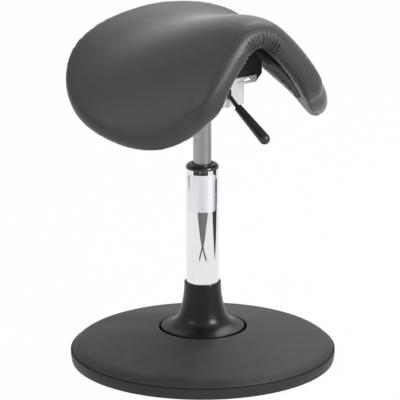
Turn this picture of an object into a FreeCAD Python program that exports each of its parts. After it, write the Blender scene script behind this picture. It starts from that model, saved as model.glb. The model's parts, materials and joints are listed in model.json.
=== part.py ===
"""Saddle stool on a tilting round foot, as separate parts. Millimetres, +Z up.

The origin is on the floor, under the column's axis. The saddle's long axis runs along Y,
and its narrow arched end points to -Y. Every size is a cell of the sheet named Sizes.
"""

import FreeCAD, Part
import Sketcher

import math
import os

DEG = math.pi / 180.0


class Dim:
    """A size that knows its number and the sheet expression that gives it."""

    def __init__(self, value, text):
        self.value = float(value)
        self.text = text

    def _with(self, other, sign, value):
        text = other.text if isinstance(other, Dim) else repr(other)
        return Dim(value, f"({self.text} {sign} {text})")

    def __add__(self, other):
        return self._with(other, "+", self.value + number(other))

    def __sub__(self, other):
        return self._with(other, "-", self.value - number(other))

    def __mul__(self, other):
        return self._with(other, "*", self.value * number(other))

    def __truediv__(self, other):
        return self._with(other, "/", self.value / number(other))

    def __neg__(self):
        return Dim(-self.value, f"(-1 * {self.text})")


def number(size):
    return size.value if isinstance(size, Dim) else float(size)


def words(size):
    return size.text if isinstance(size, Dim) else repr(float(size))


def root(size):
    return Dim(math.sqrt(size.value), f"sqrt({size.text})")


def sine(angle):
    return Dim(math.sin(number(angle) * DEG), f"sin({words(angle)} * 1 deg)")


def cosine(angle):
    return Dim(math.cos(number(angle) * DEG), f"cos({words(angle)} * 1 deg)")


def tangent(angle):
    return Dim(math.tan(number(angle) * DEG), f"tan({words(angle)} * 1 deg)")


def on_circle(radius, offset):
    """The other coordinate of a point on a circle, at an offset from its centre."""
    return root(radius * radius - offset * offset)


class Sizes:
    """The driving dimensions, one sheet row each."""

    def __init__(self, doc):
        self._sheet = doc.addObject("Spreadsheet::Sheet", "Sizes")
        self._rows = 0

    def add(self, name, value, note):
        self._rows += 1
        self._sheet.set(f"A{self._rows}", name)
        self._sheet.set(f"B{self._rows}", str(value))
        self._sheet.set(f"C{self._rows}", note)
        self._sheet.setAlias(f"B{self._rows}", name)
        size = Dim(value, f"Sizes.{name}")
        setattr(self, name, size)
        return size


doc = FreeCAD.newDocument("saddle_stool")
sz = Sizes(doc)
ZERO = Dim(0, "0")
parts = {}

# fits
sz.add("slack", 0.05, "radial clearance of seated and running round fits")
sz.add("nest", 0.2, "clearance between nested soft or moulded layers")
sz.add("side_gap", 0.3, "clearance between neighbours that do not fit each other")

# foot: floor ring, ballast, cover
sz.add("pad_height", 4, "floor ring height")
sz.add("pad_outer", 190, "floor ring outer radius")
sz.add("pad_inner", 166, "floor ring inner radius")
sz.add("ballast_radius", 186, "ballast disc radius")
sz.add("ballast_height", 10, "ballast disc thickness")
sz.add("foot_radius", 202.5, "cover radius at its widest")
sz.add("foot_widest", 10, "height of the widest line above the floor")
sz.add("foot_under", 201, "cover radius at its lower edge")
sz.add("foot_edge", 0.8, "height of the cover's lower edge above the floor")
sz.add("foot_rim", 17.5, "top of the upright rim above the floor")
sz.add("foot_rim_round", 1.5, "rounding of the rim's top edge")
sz.add("foot_step", 2, "start of the shoulder inside the rim")
sz.add("foot_shoulder", 28, "radius of the rounded shoulder")
sz.add("foot_shoulder_slope", 55, "slope where the shoulder starts, degrees")
sz.add("foot_slope", 11.3, "slope of the domed top, degrees")
sz.add("foot_wall", 3, "cover wall")
sz.add("well_radius", 67.5, "hole in the cover round the bell")
sz.add("well_lip", 8, "depth of the hole's lip")
sz.add("boss_circle", 150, "circle of the cover's screw bosses")
sz.add("boss_radius", 6, "screw boss radius")
sz.add("boss_count", 6, "number of cover screws")
sz.add("cover_screw", 2.0, "cover screw radius")
sz.add("cover_screw_reach", 12, "cover screw length in the boss")
sz.add("cover_screw_head", 4.0, "cover screw head radius")
sz.add("cover_head_height", 2.0, "cover screw head height")

# tilt joint
sz.add("pivot_above", 13, "pivot height above the ballast")
sz.add("ball_radius", 16, "pivot ball radius")
sz.add("ball_half", 10, "half height of the pivot ball")
sz.add("ball_bore", 10, "bore radius of the pivot ball")
sz.add("seat_ring_radius", 23, "outer radius of the ball's lower seat")
sz.add("seat_ring_height", 7, "height of the ball's lower seat")
sz.add("king_bolt", 5, "king bolt radius")
sz.add("king_head", 8.5, "king bolt head radius")
sz.add("king_head_height", 5, "king bolt head height")
sz.add("king_sink", 5.5, "depth of the counterbore for the head")
sz.add("dome_radius", 24, "outer radius of the tilt plate's dome")
sz.add("dome_hole", 12, "hole in the dome for the king bolt")
sz.add("flange_radius", 50, "tilt plate flange radius")
sz.add("flange_below", 3, "flange underside above the pivot")
sz.add("flange_height", 6, "flange thickness")
sz.add("cushion_inner", 28, "rubber cushion inner radius")
sz.add("cushion_outer", 48, "rubber cushion outer radius")
sz.add("cushion_waist", 2, "waist depth of the rubber cushion")
sz.add("washer_radius", 18, "dished washer radius")
sz.add("washer_crown", 3.6, "dished washer thickness over the dome")
sz.add("washer_rim", 4, "dished washer rim height")
sz.add("washer_flat", 12, "radius of the dished washer's flat")
sz.add("nut_across", 16, "lock nut width across flats")
sz.add("nut_height", 6, "lock nut height")
sz.add("bolt_proud", 1.5, "king bolt end above the nut")

# hub and column
sz.add("tube_radius", 25, "column tube outer radius")
sz.add("tube_wall", 1.5, "column tube wall")
sz.add("tube_top", 304, "top of the column tube above the floor")
sz.add("tube_foot", 67, "bottom of the column tube above the floor")
sz.add("socket_wall", 2, "hub socket wall")
sz.add("socket_top", 105, "top of the hub socket")
sz.add("socket_step", 4, "height of the ring that the tube stands on")
sz.add("socket_step_bore", 20, "bore of that ring")
sz.add("bell_top", 124, "top of the bell")
sz.add("bell_wall", 2, "bell wall")
sz.add("bell_neck", 28.1, "bell radius at its neck")
sz.add("bell_neck_foot", 120, "height where the neck starts to flare")
sz.add("bell_flare", 140, "radius of the upper flare")
sz.add("bell_flare_turn", 20, "turn of the upper flare, degrees")
sz.add("bell_sweep", 27, "radius of the lower flare")
sz.add("bell_sweep_turn", 79, "turn at the end of the lower flare, degrees")
sz.add("bell_radius", 63.5, "bell radius at its skirt")
sz.add("bell_skirt_top", 53.6, "top edge of the skirt")
sz.add("bell_skirt_foot", 45, "lower edge of the skirt")
sz.add("bell_edge", 1.6, "rounding of the skirt's edge and the bell's top")

# guide bush
sz.add("bush_length", 64, "guide bush length in the tube")
sz.add("collar_height", 7, "height of the domed collar")
sz.add("collar_round", 6.4, "rounding of the collar")
sz.add("collar_over", 0.2, "collar radius beyond the tube")
sz.add("collar_top_radius", 17.4, "radius of the collar's funnel-shaped opening")
sz.add("bush_relief", 0.6, "radial relief between the bush's two guide bands")
sz.add("bush_band", 12, "length of each guide band")

# swivel bearing, spindle and gas cylinder
sz.add("end_plate", 4, "tube end plate thickness")
sz.add("end_plate_up", 1, "end plate underside above the tube's bottom")
sz.add("rod_radius", 5, "piston rod radius")
sz.add("race_radius", 11.5, "bearing race radius")
sz.add("race_height", 2, "bearing race thickness")
sz.add("race_ball", 1.75, "bearing ball radius")
sz.add("race_circle", 8.3, "bearing ball circle radius")
sz.add("race_count", 12, "number of bearing balls")
sz.add("shoulder_radius", 8, "piston rod shoulder radius")
sz.add("shoulder_height", 3, "piston rod shoulder height")
sz.add("bumper_radius", 12, "rubber bumper radius")
sz.add("bumper_height", 14, "rubber bumper height")
sz.add("clip_radius", 8.5, "retaining clip radius")
sz.add("clip_height", 1.2, "retaining clip thickness")
sz.add("rod_below", 3, "piston rod end below the end plate")
sz.add("cylinder_radius", 14, "gas cylinder outer radius")
sz.add("cylinder_wall", 2, "gas cylinder wall")
sz.add("cylinder_foot", 166, "bottom of the gas cylinder at rest")
sz.add("cylinder_top", 438, "top of the gas cylinder at rest")
sz.add("gland_height", 16, "rod gland height")
sz.add("piston_place", 256, "middle of the piston above the floor")
sz.add("piston_height", 10, "piston height")
sz.add("valve_height", 36, "valve body height in the cylinder")
sz.add("cap_height", 4, "thickness of the cylinder's top")
sz.add("neck_radius", 6, "valve neck radius")
sz.add("neck_height", 2.4, "valve neck above the cylinder")
sz.add("pin_radius", 2.5, "release pin radius")
sz.add("pin_proud", 3, "release pin above the neck")
sz.add("taper_height", 25, "height of the cylinder's tapered end")
sz.add("taper_drop", 0.7, "radius lost over the taper")

# seat mechanism
sz.add("plate_top", 456, "top of the seat plate")
sz.add("plate_height", 2.5, "seat plate thickness")
sz.add("plate_half", 50, "half width of the seat plate")
sz.add("plate_front", 69, "front face of the seat plate's lip from the axis")
sz.add("plate_back", 72, "back edge of the seat plate from the axis")
sz.add("plate_corner", 8, "corner radius of the seat plate")
sz.add("lip_depth", 11, "depth of the turned-down lip")
sz.add("lip_slot_from", 11, "inner end of each lip slot from the middle")
sz.add("lip_slot_to", 40, "outer end of each lip slot from the middle")
sz.add("lip_slot_height", 4.8, "lip slot height")
sz.add("lip_slot_drop", 2.6, "top of the lip slot below the plate's top")
sz.add("case_half", 29.5, "half width of the mechanism case")
sz.add("case_back", 44, "back of the mechanism case from the axis")
sz.add("case_foot", 413, "underside of the mechanism case")
sz.add("case_wall", 2.5, "mechanism case wall")
sz.add("case_corner", 4, "corner radius of the mechanism case")
sz.add("cone_wall", 4, "taper socket wall")
sz.add("cone_below", 4, "taper socket below the case")
sz.add("lever_rod", 3.2, "lever rod radius")
sz.add("lever_pivot", 32, "lever pivot from the axis")
sz.add("lever_knee", 42, "first bend of the lever from the axis")
sz.add("lever_reach", 84, "second bend of the lever from the axis")
sz.add("lever_drop", 27.7, "drop of the lever between its bends")
sz.add("lever_knee_radius", 13, "radius of the first bend")
sz.add("lever_wrist_radius", 40, "radius of the second bend")
sz.add("lever_tail", 6, "lever end behind the axis")
sz.add("lever_boss", 5.4, "lever boss radius")
sz.add("lever_boss_half", 9, "half length of the lever boss")
sz.add("tap", 0.05, "gap between the lever and the release pin")
sz.add("pivot_pin", 3, "lever pivot pin radius")
sz.add("pivot_head", 5, "pivot pin head radius")
sz.add("pivot_head_height", 1.6, "pivot pin head height")
sz.add("pivot_clip", 4.6, "pivot pin clip radius")
sz.add("mouth_half", 3.9, "half width of the case's lever mouth")
sz.add("mouth_foot", 426, "bottom of the lever mouth")
sz.add("mouth_top", 440, "top of the lever mouth")
sz.add("grip_slope", 28.8, "slope of the grip, degrees")
sz.add("grip_length", 80, "grip length")
sz.add("grip_neck", 6.1, "grip radius at its neck")
sz.add("grip_end", 8.3, "grip radius near its end")
sz.add("grip_start", 4.2, "grip end from the second bend of the lever")
sz.add("grip_hold", 58, "lever rod length inside the grip")
sz.add("mount_bolt", 4, "seat bolt radius")
sz.add("mount_bolt_across", 13, "seat bolt head width across flats")
sz.add("mount_bolt_head", 5.3, "seat bolt head height")
sz.add("mount_washer", 8, "seat bolt washer radius")
sz.add("mount_washer_height", 1.6, "seat bolt washer thickness")
sz.add("mount_bolt_side", 40, "seat bolts from the middle")
sz.add("mount_bolt_front", 46, "front seat bolts from the axis")
sz.add("mount_bolt_back", 56, "back seat bolts from the axis")
sz.add("mount_bolt_reach", 16, "seat bolt length above the plate")
sz.add("insert_radius", 6, "threaded insert radius")
sz.add("insert_height", 12, "threaded insert height")

# saddle: the middle surface of the pad, from its back end to its arched front end
sz.add("ridge_back", 111.3, "back end of the middle surface from the axis")
sz.add("ridge_front", 129, "front end of the middle surface from the axis")
sz.add("ridge_back_height", 515, "ridge height at the back end")
sz.add("ridge_seat_height", 490, "ridge height control behind the axis")
sz.add("ridge_rise_height", 547, "ridge height control before the axis")
sz.add("ridge_front_height", 539, "ridge height at the front end")
sz.add("lean_back", -0.2, "forward lean of the back section downwards, degrees")
sz.add("lean_front", 5.8, "forward lean of the front section downwards, degrees")
sz.add("crown_back", 352, "crown radius at the back end")
sz.add("crown_seat", 215, "crown radius control behind the axis")
sz.add("crown_rise", 400, "crown radius control before the axis")
sz.add("crown_front", 49.5, "crown radius at the front end")
sz.add("crown_turn_back", 23.8, "half angle of the crown at the back end, degrees")
sz.add("crown_turn_middle", 28, "half angle control of the crown, degrees")
sz.add("crown_turn_front", 42, "half angle of the crown at the front end, degrees")
sz.add("flank_back", 143, "flank radius at the back end")
sz.add("flank_middle", 316, "flank radius control")
sz.add("flank_front", 322, "flank radius at the front end")
sz.add("spread_back", 227, "half girth at the back end")
sz.add("spread_seat", 195, "half girth control behind the axis")
sz.add("spread_rise", 279.5, "half girth control before the axis")
sz.add("spread_front", 166.3, "half girth at the front end")
sz.add("corner_back", 2.73, "squareness of the back corners")
sz.add("corner_front", 5.1, "squareness of the front corners")
sz.add("pad_half", 20.5, "half thickness of the pad and radius of its rim")
sz.add("cover_skin", 1.5, "seat cover thickness")
sz.add("shell_height", 7, "seat shell thickness")
sz.add("shell_inset", 8, "seat shell edge inside the middle surface's edge")
sz.add("turn_under", 42, "width of the cover turned under the rim")
sz.add("lining_height", 1.2, "underside lining thickness")
sz.add("block_half", 62, "half width of the mounting block")
sz.add("block_front", 67, "front of the mounting block from the axis")
sz.add("block_back", 78, "back of the mounting block from the axis")
sz.add("block_cheek", 9.5, "depth of the block's cheeks beside the seat plate")
sz.add("block_cheek_foot", 2, "width of a cheek at its lower edge")
sz.add("block_cover", 2, "block top below the mean of the two middle ridge heights")

# heights and radii that follow from the driving sizes
ballast_top = sz.pad_height + sz.ballast_height
pivot = ballast_top + sz.pivot_above
flange_foot = pivot + sz.flange_below
flange_top = flange_foot + sz.flange_height
washer_top = pivot + sz.dome_radius + sz.slack + sz.washer_crown
nut_top = washer_top + sz.nut_height
socket_bore = sz.tube_radius + sz.slack
socket_outer = socket_bore + sz.socket_wall
tube_bore = sz.tube_radius - sz.tube_wall
plate_under = sz.plate_top - sz.plate_height
end_plate_foot = sz.tube_foot + sz.end_plate_up
end_plate_top = end_plate_foot + sz.end_plate
lower_race_top = end_plate_top + sz.race_height
ball_line = lower_race_top + sz.race_ball + sz.slack / 2
upper_race_foot = ball_line + sz.race_ball + sz.slack / 2
upper_race_top = upper_race_foot + sz.race_height
shoulder_top = upper_race_top + sz.shoulder_height
rod_hole = sz.rod_radius + sz.slack
cylinder_bore = sz.cylinder_radius - sz.cylinder_wall
neck_top = sz.cylinder_top + sz.neck_height
pin_top = neck_top + sz.pin_proud
lever_line = pin_top + sz.tap + sz.lever_rod
taper_foot = sz.cylinder_top - sz.taper_height


def keep(label, thing):
    """Label a finished sub-part. Its label names its file."""
    thing.Label = label
    parts[label] = thing
    return thing


def origin_plane(body, role):
    for feature in body.Origin.OriginFeatures:
        if feature.Role == role:
            return feature
    raise ValueError(role)


def blank_sketch(body, name, role):
    sketch = body.newObject("Sketcher::SketchObject", name)
    sketch.AttachmentSupport = [(origin_plane(body, role), "")]
    sketch.MapMode = "FlatFace"
    return sketch


def pin_down(sketch, geometry, point, across, up):
    """Tie a sketch point to its two coordinates."""
    rules = (("DistanceX", across, -2), ("DistanceY", up, -1))
    for kind, size, axis in rules:
        if abs(number(size)) < 1e-9:
            sketch.addConstraint(Sketcher.Constraint("PointOnObject", geometry, point, axis))
            continue
        index = sketch.addConstraint(
            Sketcher.Constraint(kind, -1, 1, geometry, point, number(size))
        )
        if isinstance(size, Dim):
            sketch.setExpression(f"Constraints[{index}]", size.text)


def arc_between(start, end, radius, turn):
    """Arc of a radius from start to end, and whether it runs counter-clockwise."""
    (x0, y0), (x1, y1) = start, end
    half = math.hypot(x1 - x0, y1 - y0) / 2
    rise = math.sqrt(max(radius * radius - half * half, 0.0))
    side = turn / (2 * half)
    centre = FreeCAD.Vector(
        (x0 + x1) / 2 - side * rise * (y1 - y0), (y0 + y1) / 2 + side * rise * (x1 - x0), 0
    )
    first = math.atan2(y0 - centre.y, x0 - centre.x)
    last = math.atan2(y1 - centre.y, x1 - centre.x)
    circle = Part.Circle(centre, FreeCAD.Vector(0, 0, 1), radius)
    if turn > 0:
        return Part.ArcOfCircle(circle, first, last)
    return Part.ArcOfCircle(circle, last, first)


def draw_outline(sketch, corners):
    """Closed outline. Each corner is (across, up), or (across, up, radius, turn) where an
    arc leads to it from the corner before: turn 1 bends left and -1 bends right."""
    spots = [(number(c[0]), number(c[1])) for c in corners]
    ends = []
    for index, corner in enumerate(corners):
        start, end = spots[index - 1], spots[index]
        if len(corner) == 4:
            turn = corner[3]
            shape = arc_between(start, end, number(corner[2]), turn)
            geometry = sketch.addGeometry(shape, False)
            rule = Sketcher.Constraint("Radius", geometry, number(corner[2]))
            place = sketch.addConstraint(rule)
            if isinstance(corner[2], Dim):
                sketch.setExpression(f"Constraints[{place}]", corner[2].text)
            ends.append((geometry, 1, 2) if turn > 0 else (geometry, 2, 1))
        else:
            line = Part.LineSegment(FreeCAD.Vector(*start, 0), FreeCAD.Vector(*end, 0))
            ends.append((sketch.addGeometry(line, False), 1, 2))
    for index, corner in enumerate(corners):
        geometry, _, last = ends[index]
        follower, first, _ = ends[(index + 1) % len(ends)]
        sketch.addConstraint(
            Sketcher.Constraint("Coincident", geometry, last, follower, first)
        )
        pin_down(sketch, geometry, last, corner[0], corner[1])


def draw_circle(sketch, across, up, radius):
    circle = Part.Circle(
        FreeCAD.Vector(number(across), number(up), 0), FreeCAD.Vector(0, 0, 1), number(radius)
    )
    geometry = sketch.addGeometry(circle, False)
    place = sketch.addConstraint(Sketcher.Constraint("Radius", geometry, number(radius)))
    sketch.setExpression(f"Constraints[{place}]", words(radius))
    pin_down(sketch, geometry, 3, across, up)


def raise_sketch(sketch, height):
    sketch.setExpression("AttachmentOffset.Base.z", words(height))


def turned(label, *outlines):
    """Body turned about Z from closed outlines of (radius, height) corners."""
    body = doc.addObject("PartDesign::Body", label)
    sketch = blank_sketch(body, f"{label}_profile", "XZ_Plane")
    for corners in outlines:
        draw_outline(sketch, corners)
    feature = body.newObject("PartDesign::Revolution", f"{label}_turn")
    feature.Profile = sketch
    feature.ReferenceAxis = (sketch, ["V_Axis"])
    feature.Angle = 360
    body.Tip = feature
    return keep(label, body)


def ring(inner, outer, foot, top):
    return [(inner, foot), (outer, foot), (outer, top), (inner, top)]


def pad_up(body, name, sketch, length):
    pad = body.newObject("PartDesign::Pad", name)
    pad.Profile = sketch
    pad.setExpression("Length", words(length))
    body.Tip = pad
    return pad


def drill(body, name, sketch, length, up=True):
    """Pocket from the sketch's plane, upwards or downwards. It has to take material away."""
    doc.recompute()
    before = body.Shape.Volume
    pocket = body.newObject("PartDesign::Pocket", name)
    pocket.Profile = sketch
    pocket.Reversed = up
    pocket.setExpression("Length", words(length))
    body.Tip = pocket
    doc.recompute()
    if body.Shape.Volume >= before - 1e-6:
        raise RuntimeError(f"{name} cuts nothing")
    return pocket


def holes(body, name, spots, radius, foot, depth):
    """Round holes upwards from a height, at (x, y) spots."""
    sketch = blank_sketch(body, f"{name}_sketch", "XY_Plane")
    raise_sketch(sketch, foot)
    for across, up in spots:
        draw_circle(sketch, across, up, radius)
    return drill(body, name, sketch, depth)


def around(count, radius, start=0.0):
    """Spots evenly round the axis, tied to their circle's radius."""
    step = 360.0 / count
    spots = []
    for index in range(count):
        angle = start + index * step
        spots.append((radius * math.cos(angle * DEG), radius * math.sin(angle * DEG)))
    return spots


def place(thing, across=ZERO, along=ZERO, up=ZERO):
    for axis, size in (("x", across), ("y", along), ("z", up)):
        thing.setExpression(f"Placement.Base.{axis}", words(size))


def cylinder(name, radius, height, across=ZERO, along=ZERO, up=ZERO):
    thing = doc.addObject("Part::Cylinder", name)
    thing.setExpression("Radius", words(radius))
    thing.setExpression("Height", words(height))
    place(thing, across, along, up)
    return thing


def hexagon(name, flats, height, across=ZERO, along=ZERO, up=ZERO):
    thing = doc.addObject("Part::Prism", name)
    thing.Polygon = 6
    thing.setExpression("Circumradius", words(flats / math.sqrt(3)))
    thing.setExpression("Height", words(height))
    place(thing, across, along, up)
    return thing


def cut(name, base, tool):
    thing = doc.addObject("Part::Cut", name)
    thing.Base = base
    thing.Tool = tool
    return thing


def fuse(name, *things):
    thing = doc.addObject("Part::MultiFuse", name)
    thing.Shapes = list(things)
    return thing


def group(label, things):
    """Several separate solids in one sub-part."""
    thing = doc.addObject("Part::Compound", label)
    thing.Links = list(things)
    return keep(label, thing)


# foot

def foot():
    turned("floor_ring", ring(sz.pad_inner, sz.pad_outer, ZERO, sz.pad_height))

    hole = sz.king_bolt + sz.slack
    ballast = turned("ballast_disc", ring(hole, sz.ballast_radius, sz.pad_height, ballast_top))
    holes(ballast, "king_counterbore", [(ZERO, ZERO)], sz.king_head + sz.side_gap * 2,
          sz.pad_height, sz.king_sink)
    screw_spots = around(int(sz.boss_count.value), sz.boss_circle, 30.0)
    screw_hole = sz.cover_screw + sz.side_gap
    holes(ballast, "cover_screw_holes", screw_spots, screw_hole, sz.pad_height,
          sz.ballast_height)

    cover = turned("foot_cover", foot_profile())
    boss_foot = ballast_top + sz.nest
    boss_top = dome_height(sz.boss_circle + sz.boss_radius) - sz.foot_wall / 4
    sketch = blank_sketch(cover, "screw_bosses_sketch", "XY_Plane")
    raise_sketch(sketch, boss_foot)
    for across, up in screw_spots:
        draw_circle(sketch, across, up, sz.boss_radius)
    pad_up(cover, "screw_bosses", sketch, boss_top - boss_foot)
    holes(cover, "boss_holes", screw_spots, sz.cover_screw + sz.slack, boss_foot,
          sz.cover_screw_reach + sz.side_gap * 2)

    screws = []
    shank = boss_foot - sz.pad_height + sz.cover_screw_reach
    for index, (across, along) in enumerate(screw_spots):
        head = cylinder(f"cover_head_{index}", sz.cover_screw_head, sz.cover_head_height,
                        across, along, sz.pad_height - sz.cover_head_height)
        stem = cylinder(f"cover_stem_{index}", sz.cover_screw, shank, across, along,
                        sz.pad_height)
        screws.append(fuse(f"cover_screw_{index}", head, stem))
    group("cover_screws", screws)


def on_shoulder(slope, radius):
    """Point of the rounded shoulder, or of one inside it, where it has a slope."""
    centre = sz.foot_radius - sz.foot_step - sz.foot_shoulder * sine(sz.foot_shoulder_slope)
    height = sz.foot_rim - sz.foot_shoulder * cosine(sz.foot_shoulder_slope)
    return centre + radius * sine(slope), height + radius * cosine(slope)


def dome_height(radius):
    """Height of the foot cover's domed top at a radius."""
    start, height = on_shoulder(sz.foot_slope, sz.foot_shoulder)
    return height + (start - radius) * tangent(sz.foot_slope)


def foot_profile():
    """Cover section: an upright rim, a rounded shoulder, a sloping dome and a lipped hole."""
    inner = sz.foot_shoulder - sz.foot_wall
    drop = sz.foot_wall / cosine(sz.foot_slope)
    lip_inner = sz.well_radius + sz.foot_wall
    rim_inner = sz.foot_radius - sz.foot_wall
    shoulder_foot = on_shoulder(sz.foot_shoulder_slope, inner)
    return [
        (sz.foot_under - sz.foot_wall, sz.foot_edge),
        (sz.foot_under, sz.foot_edge),
        (sz.foot_radius, sz.foot_widest),
        (sz.foot_radius, sz.foot_rim - sz.foot_rim_round),
        (sz.foot_radius - sz.foot_rim_round, sz.foot_rim, sz.foot_rim_round, 1),
        (sz.foot_radius - sz.foot_step, sz.foot_rim),
        (*on_shoulder(sz.foot_slope, sz.foot_shoulder), sz.foot_shoulder, 1),
        (sz.well_radius + sz.foot_wall / 3, dome_height(sz.well_radius + sz.foot_wall / 3)),
        (sz.well_radius, dome_height(sz.well_radius) - sz.foot_wall / 3),
        (sz.well_radius, dome_height(sz.well_radius) - sz.well_lip),
        (lip_inner, dome_height(sz.well_radius) - sz.well_lip),
        (lip_inner, dome_height(lip_inner) - drop),
        on_shoulder(sz.foot_slope, inner),
        (*shoulder_foot, inner, -1),
        (rim_inner, shoulder_foot[1]),
        (rim_inner, sz.foot_widest),
    ]


# tilt joint

def tilt_joint():
    seat = sz.ball_radius + sz.slack
    seat_top = ballast_top + sz.seat_ring_height
    turned("pivot_seat", [
        (on_circle(seat, sz.pivot_above), ballast_top, seat, -1),
        (sz.seat_ring_radius, ballast_top),
        (sz.seat_ring_radius, seat_top),
        (on_circle(seat, sz.pivot_above - sz.seat_ring_height), seat_top),
    ])

    edge = on_circle(sz.ball_radius, sz.ball_half)
    turned("pivot_ball", [
        (sz.ball_bore, pivot - sz.ball_half),
        (edge, pivot - sz.ball_half),
        (edge, pivot + sz.ball_half, sz.ball_radius, 1),
        (sz.ball_bore, pivot + sz.ball_half),
    ])

    dome = sz.dome_radius
    dome_foot = on_circle(dome, sz.flange_below + sz.flange_height)
    turned("tilt_plate", [
        (on_circle(seat, sz.flange_below), flange_foot, seat, -1),
        (sz.flange_radius, flange_foot),
        (sz.flange_radius, flange_top),
        (dome_foot, flange_top),
        (sz.dome_hole, pivot + on_circle(dome, sz.dome_hole), dome, 1),
        (sz.dome_hole, pivot + on_circle(seat, sz.dome_hole)),
    ])

    middle = (ballast_top + flange_foot) / 2
    waist = sz.cushion_outer - sz.cushion_waist
    turned("tilt_cushion", [
        (sz.cushion_inner, ballast_top),
        (sz.cushion_outer, ballast_top),
        (waist, middle),
        (sz.cushion_outer, flange_foot),
        (sz.cushion_inner, flange_foot),
    ])

    hollow = dome + sz.slack
    bore = sz.king_bolt + sz.slack
    rim_foot = pivot + on_circle(hollow, sz.washer_radius)
    turned("dished_washer", [
        (bore, pivot + on_circle(hollow, bore), hollow, 1),
        (bore, washer_top),
        (sz.washer_flat, washer_top),
        (sz.washer_radius, rim_foot + sz.washer_rim),
        (sz.washer_radius, rim_foot),
    ])

    head_top = sz.pad_height + sz.king_sink
    shank = cylinder("king_shank", sz.king_bolt, nut_top + sz.bolt_proud - head_top,
                     up=head_top)
    head = cylinder("king_bolt_head", sz.king_head, sz.king_head_height,
                    up=head_top - sz.king_head_height)
    keep("king_bolt", fuse("king_bolt_solid", shank, head))

    nut = hexagon("nut_body", sz.nut_across, sz.nut_height, up=washer_top)
    bore_tool = cylinder("nut_bore", bore, sz.nut_height, up=washer_top)
    keep("lock_nut", cut("lock_nut_solid", nut, bore_tool))


# hub and column

def hub():
    step_foot = sz.tube_foot - sz.socket_step
    lower_bore = socket_bore - sz.socket_wall / 2
    turned("hub_socket", [
        (lower_bore, flange_top),
        (socket_outer, flange_top),
        (socket_outer, sz.socket_top),
        (socket_bore, sz.socket_top),
        (socket_bore, sz.tube_foot),
        (sz.socket_step_bore, sz.tube_foot),
        (sz.socket_step_bore, step_foot),
        (lower_bore, step_foot),
    ])
    turned("hub_bell", bell_profile())


def bell_profile():
    """Bell section: a straight neck, two flares that get steeper outwards, and a skirt."""
    first = sz.bell_flare_turn
    last = sz.bell_sweep_turn
    one = Dim(1, "1")
    flare_end = sz.bell_neck + sz.bell_flare * (one - cosine(first))
    flare_low = sz.bell_neck_foot - sz.bell_flare * sine(first)
    sweep_end = flare_end + sz.bell_sweep * (cosine(first) - cosine(last))
    sweep_low = flare_low - sz.bell_sweep * (sine(last) - sine(first))
    wall = sz.bell_wall
    lip = sz.tube_radius + sz.slack
    neck_inner = socket_outer + sz.side_gap
    inner_flare_end = flare_end - wall * cosine(first)
    inner_flare_low = flare_low - wall * sine(first)
    inner_sweep_end = sweep_end - wall * cosine(last)
    inner_sweep_low = sweep_low - wall * sine(last)
    return [
        (lip, sz.bell_top),
        (lip, sz.socket_top + sz.side_gap * 2),
        (neck_inner, sz.socket_top + sz.side_gap * 2),
        (neck_inner, sz.bell_neck_foot - sz.bell_flare / 6),
        (inner_flare_end, inner_flare_low),
        (inner_sweep_end, inner_sweep_low, sz.bell_sweep + wall, 1),
        (sz.bell_radius - wall, sz.bell_skirt_top - wall),
        (sz.bell_radius - wall, sz.bell_skirt_foot),
        (sz.bell_radius, sz.bell_skirt_foot),
        (sz.bell_radius, sz.bell_skirt_top - sz.bell_edge),
        (sz.bell_radius - sz.bell_edge, sz.bell_skirt_top, sz.bell_edge, 1),
        (sweep_end, sweep_low),
        (flare_end, flare_low, sz.bell_sweep, -1),
        (sz.bell_neck, sz.bell_neck_foot, sz.bell_flare, -1),
        (sz.bell_neck, sz.bell_top - sz.bell_edge),
        (sz.bell_neck - sz.bell_edge, sz.bell_top, sz.bell_edge, 1),
    ]


def column():
    turned("column_tube", ring(tube_bore, sz.tube_radius, sz.tube_foot, sz.tube_top))
    turned("tube_end_plate", ring(rod_hole, tube_bore, end_plate_foot, end_plate_top))

    bore = sz.cylinder_radius + sz.slack
    outer = tube_bore - sz.slack
    relief = bore + sz.bush_relief
    collar = sz.tube_radius + sz.collar_over
    collar_top = sz.tube_top + sz.collar_height
    foot_height = sz.tube_top - sz.bush_length
    turned("guide_bush", [
        (bore, foot_height),
        (outer, foot_height),
        (outer, sz.tube_top),
        (collar, sz.tube_top),
        (collar, collar_top - sz.collar_round),
        (collar - sz.collar_round, collar_top, sz.collar_round, 1),
        (sz.collar_top_radius, collar_top),
        (bore, collar_top - (sz.collar_top_radius - bore)),
        (bore, sz.tube_top - sz.bush_band),
        (relief, sz.tube_top - sz.bush_band - sz.bush_relief),
        (relief, foot_height + sz.bush_band + sz.bush_relief),
        (bore, foot_height + sz.bush_band),
    ])


# swivel bearing and spindle

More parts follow.
